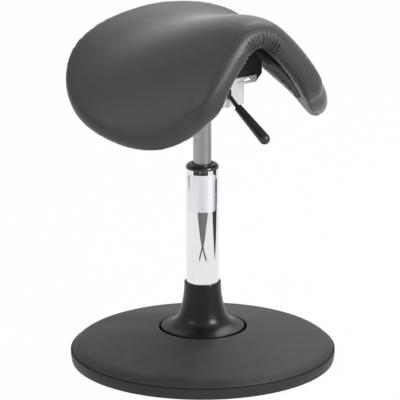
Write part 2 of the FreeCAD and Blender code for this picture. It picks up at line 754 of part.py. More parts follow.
def spindle():
    turned("bearing_lower_race", ring(rod_hole, sz.race_radius, end_plate_top, lower_race_top))
    turned("bearing_upper_race", ring(rod_hole, sz.race_radius, upper_race_foot, upper_race_top))
    balls = []
    for index, (across, along) in enumerate(around(int(sz.race_count.value), sz.race_circle)):
        ball = doc.addObject("Part::Sphere", f"race_ball_{index}")
        ball.setExpression("Radius", words(sz.race_ball))
        place(ball, across, along, ball_line)
        balls.append(ball)
    group("bearing_balls", balls)

    rod_foot = end_plate_foot - sz.rod_below
    piston_foot = sz.piston_place - sz.piston_height / 2
    groove = sz.rod_radius - sz.rod_radius / 5
    clip_foot = end_plate_foot - sz.side_gap - sz.clip_height
    clip_top = clip_foot + sz.clip_height
    turned("piston_rod", [
        (ZERO, rod_foot),
        (sz.rod_radius, rod_foot),
        (sz.rod_radius, clip_foot - sz.slack),
        (groove, clip_foot - sz.slack),
        (groove, clip_top + sz.slack),
        (sz.rod_radius, clip_top + sz.slack),
        (sz.rod_radius, upper_race_top),
        (sz.shoulder_radius, upper_race_top),
        (sz.shoulder_radius, shoulder_top),
        (sz.rod_radius, shoulder_top),
        (sz.rod_radius, piston_foot + sz.piston_height),
        (ZERO, piston_foot + sz.piston_height),
    ])
    turned("retaining_clip", ring(groove + sz.slack, sz.clip_radius, clip_foot, clip_top))
    turned("bumper", [
        (rod_hole, shoulder_top),
        (sz.bumper_radius, shoulder_top),
        (sz.bumper_radius, shoulder_top + sz.bumper_height * 0.6),
        (sz.bumper_radius * 0.75, shoulder_top + sz.bumper_height),
        (rod_hole, shoulder_top + sz.bumper_height),
    ])
    turned("piston", ring(rod_hole, cylinder_bore - sz.slack, piston_foot,
                          piston_foot + sz.piston_height))


# gas cylinder, which rises with the seat

def gas_cylinder():
    cap_foot = sz.cylinder_top - sz.cap_height
    narrow = sz.cylinder_radius - sz.taper_drop
    turned("gas_cylinder", [
        (cylinder_bore, sz.cylinder_foot),
        (sz.cylinder_radius, sz.cylinder_foot),
        (sz.cylinder_radius, taper_foot),
        (narrow, sz.cylinder_top),
        (sz.neck_radius + sz.slack, sz.cylinder_top),
        (sz.neck_radius + sz.slack, cap_foot),
        (cylinder_bore, cap_foot),
    ])
    turned("rod_gland", ring(rod_hole, cylinder_bore - sz.slack, sz.cylinder_foot,
                             sz.cylinder_foot + sz.gland_height))
    pin_bore = sz.pin_radius + sz.slack
    valve_foot = cap_foot - sz.valve_height
    turned("valve_body", [
        (pin_bore, valve_foot),
        (cylinder_bore - sz.slack, valve_foot),
        (cylinder_bore - sz.slack, cap_foot),
        (sz.neck_radius, cap_foot),
        (sz.neck_radius, neck_top),
        (pin_bore, neck_top),
    ])
    keep("release_pin", cylinder("release_pin_solid", sz.pin_radius,
                                 pin_top - valve_foot, up=valve_foot))


# seat mechanism

def mechanism():
    seat_plate()
    mechanism_case()
    cone_bore_foot = sz.cylinder_radius + sz.slack
    cone_bore_top = sz.cylinder_radius - sz.taper_drop + sz.slack
    cone_outer = sz.cylinder_radius + sz.cone_wall
    cone_foot = sz.case_foot - sz.cone_below
    turned("taper_socket", [
        (cone_bore_foot, cone_foot),
        (cone_outer, cone_foot),
        (cone_outer, sz.cylinder_top),
        (cone_bore_top, sz.cylinder_top),
        (cone_bore_foot, taper_foot),
    ])
    seat_fasteners()


def bolt_spots():
    return [
        (sz.mount_bolt_side * side, along)
        for side in (-1, 1)
        for along in (-sz.mount_bolt_front, sz.mount_bolt_back)
    ]


def seat_plate():
    """Pressed plate with a lip turned down along its front edge and two slots in the lip."""
    body = doc.addObject("PartDesign::Body", "seat_plate")
    sketch = blank_sketch(body, "plate_outline", "XY_Plane")
    raise_sketch(sketch, plate_under)
    half, corner = sz.plate_half, sz.plate_corner
    draw_outline(sketch, [
        (-half, -sz.plate_front),
        (half, -sz.plate_front),
        (half, sz.plate_back - corner),
        (half - corner, sz.plate_back, corner, 1),
        (corner - half, sz.plate_back),
        (-half, sz.plate_back - corner, corner, 1),
    ])
    pad_up(body, "plate_sheet", sketch, sz.plate_height)
    lip = blank_sketch(body, "lip_outline", "XY_Plane")
    lip_foot = sz.plate_top - sz.lip_depth
    raise_sketch(lip, lip_foot)
    draw_outline(lip, [
        (-half, -sz.plate_front),
        (half, -sz.plate_front),
        (half, sz.plate_height - sz.plate_front),
        (-half, sz.plate_height - sz.plate_front),
    ])
    pad_up(body, "plate_lip", lip, sz.lip_depth)
    slots = blank_sketch(body, "lip_slots", "XZ_Plane")
    slots.setExpression("AttachmentOffset.Base.z", words(sz.plate_front - sz.plate_height * 2))
    slot_top = sz.plate_top - sz.lip_slot_drop
    slot_foot = slot_top - sz.lip_slot_height
    for near, far in ((sz.lip_slot_from, sz.lip_slot_to), (-sz.lip_slot_to, -sz.lip_slot_from)):
        draw_outline(slots, [(near, slot_foot), (far, slot_foot), (far, slot_top),
                             (near, slot_top)])
    drill(body, "lip_slot_cut", slots, sz.plate_height * 3)
    holes(body, "mount_holes", bolt_spots(), sz.mount_bolt + sz.side_gap, plate_under,
          sz.plate_height)
    keep("seat_plate", body)


def mechanism_case():
    """Folded box welded under the plate, open at the top, with a mouth for the lever."""
    half, wall, corner = sz.case_half, sz.case_wall, sz.case_corner
    front = sz.plate_front - sz.plate_height - sz.nest
    body = doc.addObject("PartDesign::Body", "mechanism_case")
    sketch = blank_sketch(body, "case_outline", "XY_Plane")
    raise_sketch(sketch, sz.case_foot)
    draw_outline(sketch, rounded_box(half, front, sz.case_back, corner))
    height = plate_under - sz.case_foot
    pad_up(body, "case_block", sketch, height)
    inner = blank_sketch(body, "case_hollow_outline", "XY_Plane")
    raise_sketch(inner, sz.case_foot + wall)
    draw_outline(inner, rounded_box(half - wall, front - wall, sz.case_back - wall,
                                    corner - wall))
    drill(body, "case_hollow", inner, height)
    holes(body, "cone_hole", [(ZERO, ZERO)], sz.cylinder_radius + sz.cone_wall + sz.slack,
          sz.case_foot, wall)
    mouth = blank_sketch(body, "mouth_outline", "XZ_Plane")
    mouth.setExpression("AttachmentOffset.Base.z", words(front - wall * 2))
    draw_outline(mouth, [
        (-sz.mouth_half, sz.mouth_foot),
        (sz.mouth_half, sz.mouth_foot),
        (sz.mouth_half, sz.mouth_top),
        (-sz.mouth_half, sz.mouth_top),
    ])
    drill(body, "mouth", mouth, wall * 3)
    axle = blank_sketch(body, "axle_outline", "YZ_Plane")
    axle.setExpression("AttachmentOffset.Base.z", words(-half - wall))
    draw_circle(axle, -sz.lever_pivot, lever_line, sz.pivot_pin + sz.slack)
    drill(body, "axle_holes", axle, (half + wall) * 2)
    keep("mechanism_case", body)


def rounded_box(half, front, back, corner):
    return [
        (-half, corner - front),
        (corner - half, -front, corner, 1),
        (half - corner, -front),
        (half, corner - front, corner, 1),
        (half, back - corner),
        (half - corner, back, corner, 1),
        (corner - half, back),
        (-half, back - corner, corner, 1),
    ]


def seat_fasteners():
    bolts, washers, inserts = [], [], []
    washer_foot = plate_under - sz.mount_washer_height
    for index, (across, along) in enumerate(bolt_spots()):
        head = hexagon(f"mount_head_{index}", sz.mount_bolt_across, sz.mount_bolt_head,
                       across, along, washer_foot - sz.mount_bolt_head)
        reach = sz.mount_washer_height + sz.plate_height + sz.mount_bolt_reach
        stem = cylinder(f"mount_stem_{index}", sz.mount_bolt, reach, across, along, washer_foot)
        bolts.append(fuse(f"mount_bolt_{index}", head, stem))
        disc = cylinder(f"washer_disc_{index}", sz.mount_washer, sz.mount_washer_height,
                        across, along, washer_foot)
        hole = cylinder(f"washer_hole_{index}", sz.mount_bolt + sz.slack,
                        sz.mount_washer_height, across, along, washer_foot)
        washers.append(cut(f"washer_{index}", disc, hole))
        foot = sz.plate_top + sz.nest
        barrel = cylinder(f"insert_barrel_{index}", sz.insert_radius, sz.insert_height,
                          across, along, foot)
        thread = cylinder(f"insert_bore_{index}", sz.mount_bolt + sz.slack,
                          sz.insert_height, across, along, foot)
        inserts.append(cut(f"insert_{index}", barrel, thread))
    group("seat_bolts", bolts)
    group("seat_bolt_washers", washers)
    group("threaded_inserts", inserts)


# release lever

def release_lever():
    knee = (-sz.lever_knee.value, lever_line.value)
    wrist = (-sz.lever_reach.value, lever_line.value - sz.lever_drop.value)
    slope = sz.grip_slope.value * DEG
    hold = sz.grip_hold.value
    tip = (wrist[0] - hold * math.cos(slope), wrist[1] - hold * math.sin(slope))
    route = [(sz.lever_tail.value, lever_line.value), knee, wrist, tip]
    bends = [sz.lever_knee_radius.value, sz.lever_wrist_radius.value]
    rod = rod_along(route, bends, sz.lever_rod.value)
    boss = Part.makeCylinder(
        sz.lever_boss.value, 2 * sz.lever_boss_half.value,
        FreeCAD.Vector(-sz.lever_boss_half.value, -sz.lever_pivot.value, lever_line.value),
        FreeCAD.Vector(1, 0, 0),
    )
    bore = Part.makeCylinder(
        sz.pivot_pin.value + sz.slack.value, 2 * sz.lever_boss_half.value,
        FreeCAD.Vector(-sz.lever_boss_half.value, -sz.lever_pivot.value, lever_line.value),
        FreeCAD.Vector(1, 0, 0),
    )
    stem = doc.addObject("Part::Feature", "lever_rod")
    stem.Shape = rod.fuse(boss).cut(bore).removeSplitter()
    keep("lever_rod", stem)

    bore_radius = sz.lever_rod + sz.slack
    bore_depth = sz.grip_hold - sz.grip_start + sz.side_gap
    end = sz.grip_end
    grip = turned("lever_grip", [
        (bore_radius, ZERO),
        (sz.grip_neck, ZERO),
        (end, sz.grip_length - end),
        (ZERO, sz.grip_length, end, 1),
        (ZERO, bore_depth),
        (bore_radius, bore_depth),
    ])
    start_back = sz.lever_reach + sz.grip_start * cosine(sz.grip_slope)
    start_up = lever_line - sz.lever_drop - sz.grip_start * sine(sz.grip_slope)
    grip.setExpression("Placement.Base.y", words(-start_back))
    grip.setExpression("Placement.Base.z", words(start_up))
    grip.Placement.Rotation = FreeCAD.Rotation(FreeCAD.Vector(1, 0, 0), 90)
    grip.setExpression("Placement.Rotation.Angle", words(Dim(90, "90") + sz.grip_slope))

    clip_side = sz.case_half + sz.nest
    shank = doc.addObject("Part::Cylinder", "pivot_shank")
    head = doc.addObject("Part::Cylinder", "pivot_pin_head")
    ring_disc = doc.addObject("Part::Cylinder", "pivot_clip_disc")
    ring_hole = doc.addObject("Part::Cylinder", "pivot_clip_hole")
    length = clip_side * 2 + sz.pivot_head_height * 2
    lay_across(shank, sz.pivot_pin, length, -clip_side)
    lay_across(head, sz.pivot_head, sz.pivot_head_height, -clip_side - sz.pivot_head_height)
    lay_across(ring_disc, sz.pivot_clip, sz.pivot_head_height / 2, clip_side)
    lay_across(ring_hole, sz.pivot_pin + sz.slack, sz.pivot_head_height / 2, clip_side)
    keep("lever_pivot_pin", fuse("lever_pivot_solid", shank, head))
    keep("pivot_pin_clip", cut("pivot_clip_solid", ring_disc, ring_hole))


def lay_across(thing, radius, length, start):
    """Cylinder along X at the lever's pivot, from an X coordinate."""
    thing.Placement.Rotation = FreeCAD.Rotation(FreeCAD.Vector(0, 1, 0), 90)
    thing.setExpression("Radius", words(radius))
    thing.setExpression("Height", words(length))
    place(thing, start, -sz.lever_pivot, lever_line)


def rod_along(route, bends, radius):
    """Round rod in the YZ plane: straight runs joined by tangent arcs."""
    spots = [FreeCAD.Vector(0, along, up) for along, up in route]
    edges = []
    start = spots[0]
    for index, bend in enumerate(bends, 1):
        back = (spots[index - 1] - spots[index]).normalize()
        ahead = (spots[index + 1] - spots[index]).normalize()
        turn = math.pi - back.getAngle(ahead)
        reach = bend * math.tan(turn / 2)
        entry = spots[index] + back * reach
        leave = spots[index] + ahead * reach
        bisector = (back + ahead).normalize()
        sagitta = bend / math.cos(turn / 2) - bend
        edges.append(Part.LineSegment(start, entry).toShape())
        edges.append(Part.Arc(entry, spots[index] + bisector * sagitta, leave).toShape())
        start = leave
    edges.append(Part.LineSegment(start, spots[-1]).toShape())
    path = Part.Wire(edges)
    along = (spots[1] - spots[0]).normalize()
    section = Part.Wire([Part.makeCircle(radius, spots[0], along)])
    return path.makePipeShell([section], True, False)


# saddle

def blend(share, *controls):
    """Bezier blend of control values, from the back (0) to the front (1)."""
    degree = len(controls) - 1
    return sum(
        math.comb(degree, i) * share ** i * (1 - share) ** (degree - i) * value
        for i, value in enumerate(controls)
    )


def travelled(points):
    """Distance along a row of points at each of them."""
    steps = [0.0]
    for near, far in zip(points, points[1:]):
        steps.append(steps[-1] + near.distanceToPoint(far))
    return steps


def through(points, parameters, closed=False):
    curve = Part.BSplineCurve()
    curve.interpolate(Points=list(points), PeriodicFlag=closed, Parameters=parameters)
    return curve


def skinned(loops):
    """Smooth surface through closed rows of points, all with the same count."""
    widest = max(loops, key=lambda loop: travelled(loop)[-1])
    around_it = travelled(widest + widest[:1])
    along_it = travelled([loop[len(loop) // 2] for loop in loops])
    rings = [through(loop, around_it, True) for loop in loops]
    lines = [through(column, along_it) for column in zip(*[one.getPoles() for one in rings])]
    surface = Part.BSplineSurface()
    surface.buildFromPolesMultsKnots(
        [line.getPoles() for line in lines],
        rings[0].getMultiplicities(), lines[0].getMultiplicities(),
        rings[0].getKnots(), lines[0].getKnots(), True, False, 3, 3)
    return surface


class SaddleSurface:
    """Middle surface of the pad, cut across at shares of its length."""

    def __init__(self):
        self.heights = [
            sz.ridge_back_height.value,
            sz.ridge_seat_height.value,
            sz.ridge_rise_height.value,
            sz.ridge_front_height.value,
        ]
        self.crown = [
            1 / radius.value
            for radius in (sz.crown_back, sz.crown_seat, sz.crown_rise, sz.crown_front)
        ]
        self.flank = [
            1 / radius.value for radius in (sz.flank_back, sz.flank_middle, sz.flank_front)
        ]
        self.turn = [
            angle.value * DEG
            for angle in (sz.crown_turn_back, sz.crown_turn_middle, sz.crown_turn_front)
        ]
        self.spread = [
            half.value
            for half in (sz.spread_back, sz.spread_seat, sz.spread_rise, sz.spread_front)
        ]
        self.length = sz.ridge_back.value + sz.ridge_front.value

    def frame(self, share):
        """Ridge point and the upward direction of the cutting plane."""
        along = sz.ridge_back.value - self.length * share
        lean = blend(share, sz.lean_back.value, sz.lean_front.value) * DEG
        point = FreeCAD.Vector(0, along, blend(share, *self.heights))
        return point, FreeCAD.Vector(0, math.sin(lean), math.cos(lean))

    def section(self, share, low, high, reach, tip):
        """Closed loop of edges between two offsets, with a half girth of reach."""
        inside = min(max(share, 0.0), 1.0)
        crown = 1 / blend(inside, *self.crown)
        flank = 1 / blend(inside, *self.flank)
        girth = reach - tip
        turn = min(blend(inside, *self.turn), 0.8 * girth / crown)
        end = turn + (girth - crown * turn) / flank
        point, upward = self.frame(share)

        def spot(angle, radius_change, side, shift=0.0):
            across = (crown - flank) * math.sin(turn) + (flank + radius_change) * math.sin(angle)
            height = (crown - flank) * math.cos(turn) + (flank + radius_change) * math.cos(angle)
            if angle <= turn:
                across = (crown + radius_change) * math.sin(angle)
                height = (crown + radius_change) * math.cos(angle)
            across += shift * math.cos(angle)
            height -= shift * math.sin(angle) + crown
            return point + FreeCAD.Vector(side * across, 0, 0) + upward * height

        middle = (high + low) / 2
        half = (high - low) / 2
        diagonal = math.sqrt(0.5)
        mid_flank = (turn + end) / 2
        edges = []
        for start, mid, stop in (
            (spot(end, high, -1), spot(mid_flank, high, -1), spot(turn, high, -1)),
            (spot(turn, high, -1), spot(0, high, 1), spot(turn, high, 1)),
            (spot(turn, high, 1), spot(mid_flank, high, 1), spot(end, high, 1)),
        ):
            edges.append(Part.Arc(start, mid, stop).toShape())
        edges += self._tip(spot, end, middle, half, tip, diagonal, 1)
        for start, mid, stop in (
            (spot(end, low, 1), spot(mid_flank, low, 1), spot(turn, low, 1)),
            (spot(turn, low, 1), spot(0, low, 1), spot(turn, low, -1)),
            (spot(turn, low, -1), spot(mid_flank, low, -1), spot(end, low, -1)),
        ):
            edges.append(Part.Arc(start, mid, stop).toShape())
        edges += reversed(self._tip(spot, end, middle, half, tip, diagonal, -1))
        return edges

    @staticmethod
    def _tip(spot, end, middle, half, tip, diagonal, side):
        """Edge of the section: two quarter arcs, or two straight halves where tip is 0."""
        top, nose, foot = (
            spot(end, middle + half, side),
            spot(end, middle, side, tip),
            spot(end, middle - half, side),
        )
        if tip <= 0:
            return [
                Part.LineSegment(top, nose).toShape(),
                Part.LineSegment(nose, foot).toShape(),
            ]
        upper = spot(end, middle + half * diagonal, side, tip * diagonal)
        lower = spot(end, middle - half * diagonal, side, tip * diagonal)
        if side > 0:
            return [Part.Arc(top, upper, nose).toShape(), Part.Arc(nose, lower, foot).toShape()]
        return [Part.Arc(nose, upper, top).toShape(), Part.Arc(foot, lower, nose).toShape()]

    def spread_at(self, station, start, stop, beyond):
        """Half girth at a station, drawn in at both ends so that the corners are round."""
        share = min(max(station / self.length, 0.0), 1.0)
        middle = (start + stop) / 2
        place_share = (station - middle) / ((stop - start) / 2)
        power = sz.corner_front.value if place_share > 0 else sz.corner_back.value
        full = blend(share, *self.spread) + beyond
        return full * (1 - min(abs(place_share), 1.0) ** power) ** (1 / power)

    def rounded_layer(self, half):
        """Pad of a half thickness with a round rim, about the middle surface."""
        start, stop = -half, self.length + half
        near = [half * (1 - math.cos(turn * DEG)) for turn in (10, 20, 31, 43, 56, 71, 90)]
        near += [half * step for step in (1.45, 2.05, 2.8, 3.7, 4.8)]
        stations = [start + step for step in near] + [self.length / 2]
        stations += [stop - step for step in reversed(near)]
        loops = []
        for station in stations:
            inset = min(station - start, stop - station, half)
            thick = math.sqrt(half ** 2 - (half - inset) ** 2)
            reach = self.spread_at(station, start, stop, half)
            loops.append(self._loop(self.section(station / self.length, -thick, thick, reach,
                                                 thick)))
        side = skinned(loops).toShape()
        ends = [Part.Face(Part.Wire(edge)) for edge in side.Edges if self._is_end(edge)]
        shell = Part.Shell([side] + ends)
        shell.sewShape()
        return Part.Solid(shell)

    @staticmethod
    def _loop(edges):
        """Points round a rounded section, from the middle of its underside."""
        wide, rim = 28, 10
        points = []
        for first, last, count in ((0, 3, wide), (3, 5, rim), (5, 8, wide), (8, 10, rim)):
            points += Part.Wire(edges[first:last]).discretize(count + 1)[:-1]
        middle = wide + rim + wide // 2
        return points[middle:] + points[:middle]

    @staticmethod
    def _is_end(edge):
        """Whether an edge runs round the pad, unlike the seam along its underside."""
        return edge.BoundBox.XLength > 1

    def thin_layer(self, low, high, beyond):
        """Layer between two offsets, with square edges moved outwards by beyond."""
        start, stop = -beyond, self.length + beyond
        span = stop - start
        shares = [0.002, 0.012, 0.04, 0.09, 0.18, 0.33, 0.5, 0.67, 0.82, 0.91, 0.96, 0.988,
                  0.998]
        wires = []
        for share in shares:
            station = start + share * span
            reach = self.spread_at(station, start, stop, beyond)
            wires.append(Part.Wire(self.section(station / self.length, low, high, reach, 0.0)))
        return Part.makeLoft(wires, True, False)


def feature(label, shape):
    thing = doc.addObject("Part::Feature", label)
    thing.Shape = shape
    return keep(label, thing)


def seat():
    surface = SaddleSurface()
    half = sz.pad_half.value
    nest = sz.nest.value
    skin = half - sz.cover_skin.value
    core = skin - nest
    inset = sz.shell_inset.value
    shell_top = sz.shell_height.value - core
    window = half - sz.turn_under.value

    outside = surface.rounded_layer(half)
    inside = surface.rounded_layer(skin)
    opening = surface.thin_layer(-half - skin / 2, -half * 0.7, window)
    feature("seat_cover", outside.cut(inside).cut(opening))

    padding = surface.rounded_layer(core)
    shell_room = surface.thin_layer(-half - skin / 2, shell_top + nest, nest - inset)
    feature("seat_foam", padding.cut(shell_room))
    shell_band = surface.thin_layer(-half - skin / 2, shell_top, -inset)
    feature("seat_shell", padding.common(shell_band))

    lined = surface.rounded_layer(skin + sz.lining_height.value).cut(inside)
    lining_band = surface.thin_layer(-half - skin / 2, -half * 0.7, window - nest)
    below = doc.addObject("Part::Feature", "lining_sheet")
    below.Shape = lined.common(lining_band)
    keep("underside_lining", cut("lining_solid", below, block_blank("block_room", nest * 2)))

    under_shell = doc.addObject("Part::Feature", "shell_space")
    under_shell.Shape = inside
    blank = block_blank("block_blank", 0)
    holes(blank, "insert_sockets", bolt_spots(), sz.insert_radius + sz.slack, sz.plate_top,
          sz.nest + sz.insert_height + sz.nest)
    holes(blank, "bolt_ends", bolt_spots(), sz.mount_bolt + sz.side_gap, sz.plate_top,
          sz.mount_bolt_reach + sz.side_gap * 2)
    keep("mounting_block", cut("mounting_block_solid", blank, under_shell))


def block_blank(name, room):
    """Mounting block before its top is shaped, with cheeks beside the seat plate."""
    body = doc.addObject("PartDesign::Body", name)
    sketch = blank_sketch(body, f"{name}_outline", "XZ_Plane")
    sketch.setExpression("AttachmentOffset.Base.z", words(-sz.block_back - room))
    side = sz.block_half + room
    recess = sz.plate_half + sz.side_gap - room
    cheek = sz.plate_half + sz.side_gap + sz.block_cheek_foot + room
    low = sz.plate_top - sz.block_cheek
    shoulder = low + (side - cheek)
    top = (sz.ridge_seat_height + sz.ridge_rise_height) / 2 - sz.block_cover
    draw_outline(sketch, [
        (-side, top),
        (-side, shoulder),
        (-cheek, low),
        (-recess, low),
        (-recess, sz.plate_top),
        (recess, sz.plate_top),
        (recess, low),
        (cheek, low),
        (side, shoulder),
        (side, top),
    ])
    pad_up(body, f"{name}_pad", sketch, sz.block_front + sz.block_back + room * 2)
    return body


def check_and_write():
    doc.recompute()
    for thing in doc.Objects:
        if "Invalid" in thing.State or "Error" in thing.State:
            raise RuntimeError(f"{thing.Name}: {thing.State}")
    for label, thing in parts.items():
        if thing.Shape.isNull() or not thing.Shape.isValid() or not thing.Shape.Solids:
            raise RuntimeError(f"{label} has no valid solid")
    os.makedirs("parts", exist_ok=True)
    for label, thing in sorted(parts.items()):
        thing.Shape.exportStep(f"parts/{label}.step")
        box = thing.Shape.BoundBox
        print(f"{label}: {len(thing.Shape.Solids)} solid(s), {thing.Shape.Volume:.0f} mm3, "
              f"x {box.XMin:.1f} {box.XMax:.1f} y {box.YMin:.1f} {box.YMax:.1f} "
              f"z {box.ZMin:.1f} {box.ZMax:.1f}")


foot()
tilt_joint()
hub()
column()
spindle()
gas_cylinder()
mechanism()
release_lever()
seat()
check_and_write()
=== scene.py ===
"""Looks of the saddle stool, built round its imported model.

Everything is in metres in the model's own frame: the origin on the floor under the
column, +Z up, and the saddle's narrow arched end towards -Y.
"""

import json
import logging
import math
from dataclasses import dataclass, field
from enum import Enum
from typing import Optional, Sequence

import bpy
import numpy as np
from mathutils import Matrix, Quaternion, Vector, noise


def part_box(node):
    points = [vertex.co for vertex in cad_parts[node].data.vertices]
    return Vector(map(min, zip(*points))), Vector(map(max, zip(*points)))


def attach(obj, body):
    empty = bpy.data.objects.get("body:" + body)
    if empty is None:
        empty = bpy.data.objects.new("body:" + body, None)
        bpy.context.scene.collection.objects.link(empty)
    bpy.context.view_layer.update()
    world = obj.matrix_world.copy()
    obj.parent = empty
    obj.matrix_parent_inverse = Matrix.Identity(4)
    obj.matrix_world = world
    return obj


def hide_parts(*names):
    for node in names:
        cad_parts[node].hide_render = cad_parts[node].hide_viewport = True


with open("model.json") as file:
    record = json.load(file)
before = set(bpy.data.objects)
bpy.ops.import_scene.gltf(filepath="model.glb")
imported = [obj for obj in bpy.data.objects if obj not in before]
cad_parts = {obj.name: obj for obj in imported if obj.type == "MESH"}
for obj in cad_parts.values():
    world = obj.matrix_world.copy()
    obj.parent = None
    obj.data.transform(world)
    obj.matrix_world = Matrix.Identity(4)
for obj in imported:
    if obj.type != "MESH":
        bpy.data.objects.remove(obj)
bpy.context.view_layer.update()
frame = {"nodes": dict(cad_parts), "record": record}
LOG = logging.getLogger("saddle_stool")
CREASES = "creases"
Colour = tuple[float, float, float]


# node building


class Wiring:
    """A small helper that adds and joins shader nodes in one tree."""

    def __init__(self, tree: bpy.types.NodeTree) -> None:
        """Keeps the tree that the nodes go into."""
        self.tree = tree

    def add(self, kind: str, **settings: object) -> bpy.types.Node:
        """Adds a node.

        Args:
            kind: the node's type name.
            settings: its properties, or its input sockets by name with _ for spaces.

        Returns:
            The new node.
        """
        node = self.tree.nodes.new(kind)
        for key, value in settings.items():
            if hasattr(node, key):
                setattr(node, key, value)
                continue
            socket = node.inputs[key.replace("_", " ")]
            if isinstance(value, bpy.types.NodeSocket):
                self.tree.links.new(value, socket)
            else:
                socket.default_value = value
        return node

    def join(self, source: bpy.types.NodeSocket, target: bpy.types.NodeSocket) -> None:
        """Links one socket to another."""
        self.tree.links.new(source, target)

    def maths(self, operation: str, first: object, second: object = 0.0,
              clamp: bool = False) -> bpy.types.NodeSocket:
        """Adds a Math node.

        Args:
            operation: the sum that it does.
            first: number or socket.
            second: number or socket.
            clamp: keeps the result between 0 and 1.

        Returns:
            The result's socket.
        """
        node = self.tree.nodes.new("ShaderNodeMath")
        node.operation = operation
        node.use_clamp = clamp
        for socket, value in zip(node.inputs, (first, second)):
            if isinstance(value, bpy.types.NodeSocket):
                self.join(value, socket)
            else:
                socket.default_value = value
        return node.outputs[0]

    def spread(self, value: bpy.types.NodeSocket, low: float, high: float,
               from_low: float = 0.0, from_high: float = 1.0) -> bpy.types.NodeSocket:
        """Maps a mask to a range.

        Args:
            value: the mask.
            low: result where the mask is at from_low.
            high: result where the mask is at from_high.
            from_low: lower end of the mask.
            from_high: upper end of the mask.

        Returns:
            The mapped value's socket.
        """
        node = self.tree.nodes.new("ShaderNodeMapRange")
        self.join(value, node.inputs["Value"])
        for name, number in (("From Min", from_low), ("From Max", from_high),
                             ("To Min", low), ("To Max", high)):
            node.inputs[name].default_value = number
        return node.outputs["Result"]

    def blend(self, mask: bpy.types.NodeSocket, first: object,
              second: object) -> bpy.types.NodeSocket:
        """Mixes two colours by a mask.

        Args:
            mask: 0 gives the first colour, 1 the second.
            first: colour or socket.
            second: colour or socket.

        Returns:
            The colour's socket.
        """
        node = self.tree.nodes.new("ShaderNodeMix")
        node.data_type = "RGBA"
        self.join(mask, node.inputs["Factor"])
        for socket, value in ((node.inputs[6], first), (node.inputs[7], second)):
            if isinstance(value, bpy.types.NodeSocket):
                self.join(value, socket)
            else:
                socket.default_value = (*value, 1.0)
        return node.outputs[2]


def new_group(name: str, inputs: Sequence[tuple[str, str, float]],
              outputs: Sequence[str]) -> tuple[bpy.types.NodeTree, Wiring, dict, bpy.types.Node]:
    """Starts a shared shader group.

    Args:
        name: the group's name.
        inputs: name, socket kind and usual value of each input.
        outputs: names of the value outputs.

    Returns:
        The group, its wiring, its input sockets by name and its output node.
    """
    tree = bpy.data.node_groups.new(name, "ShaderNodeTree")
    for label, kind, usual in inputs:
        socket = tree.interface.new_socket(label, in_out="INPUT", socket_type=kind)
        if kind == "NodeSocketFloat":
            socket.default_value = usual
    for label in outputs:
        tree.interface.new_socket(label, in_out="OUTPUT", socket_type="NodeSocketFloat")
    entry = tree.nodes.new("NodeGroupInput")
    leave = tree.nodes.new("NodeGroupOutput")
    return tree, Wiring(tree), {s.name: s for s in entry.outputs if s.name}, leave


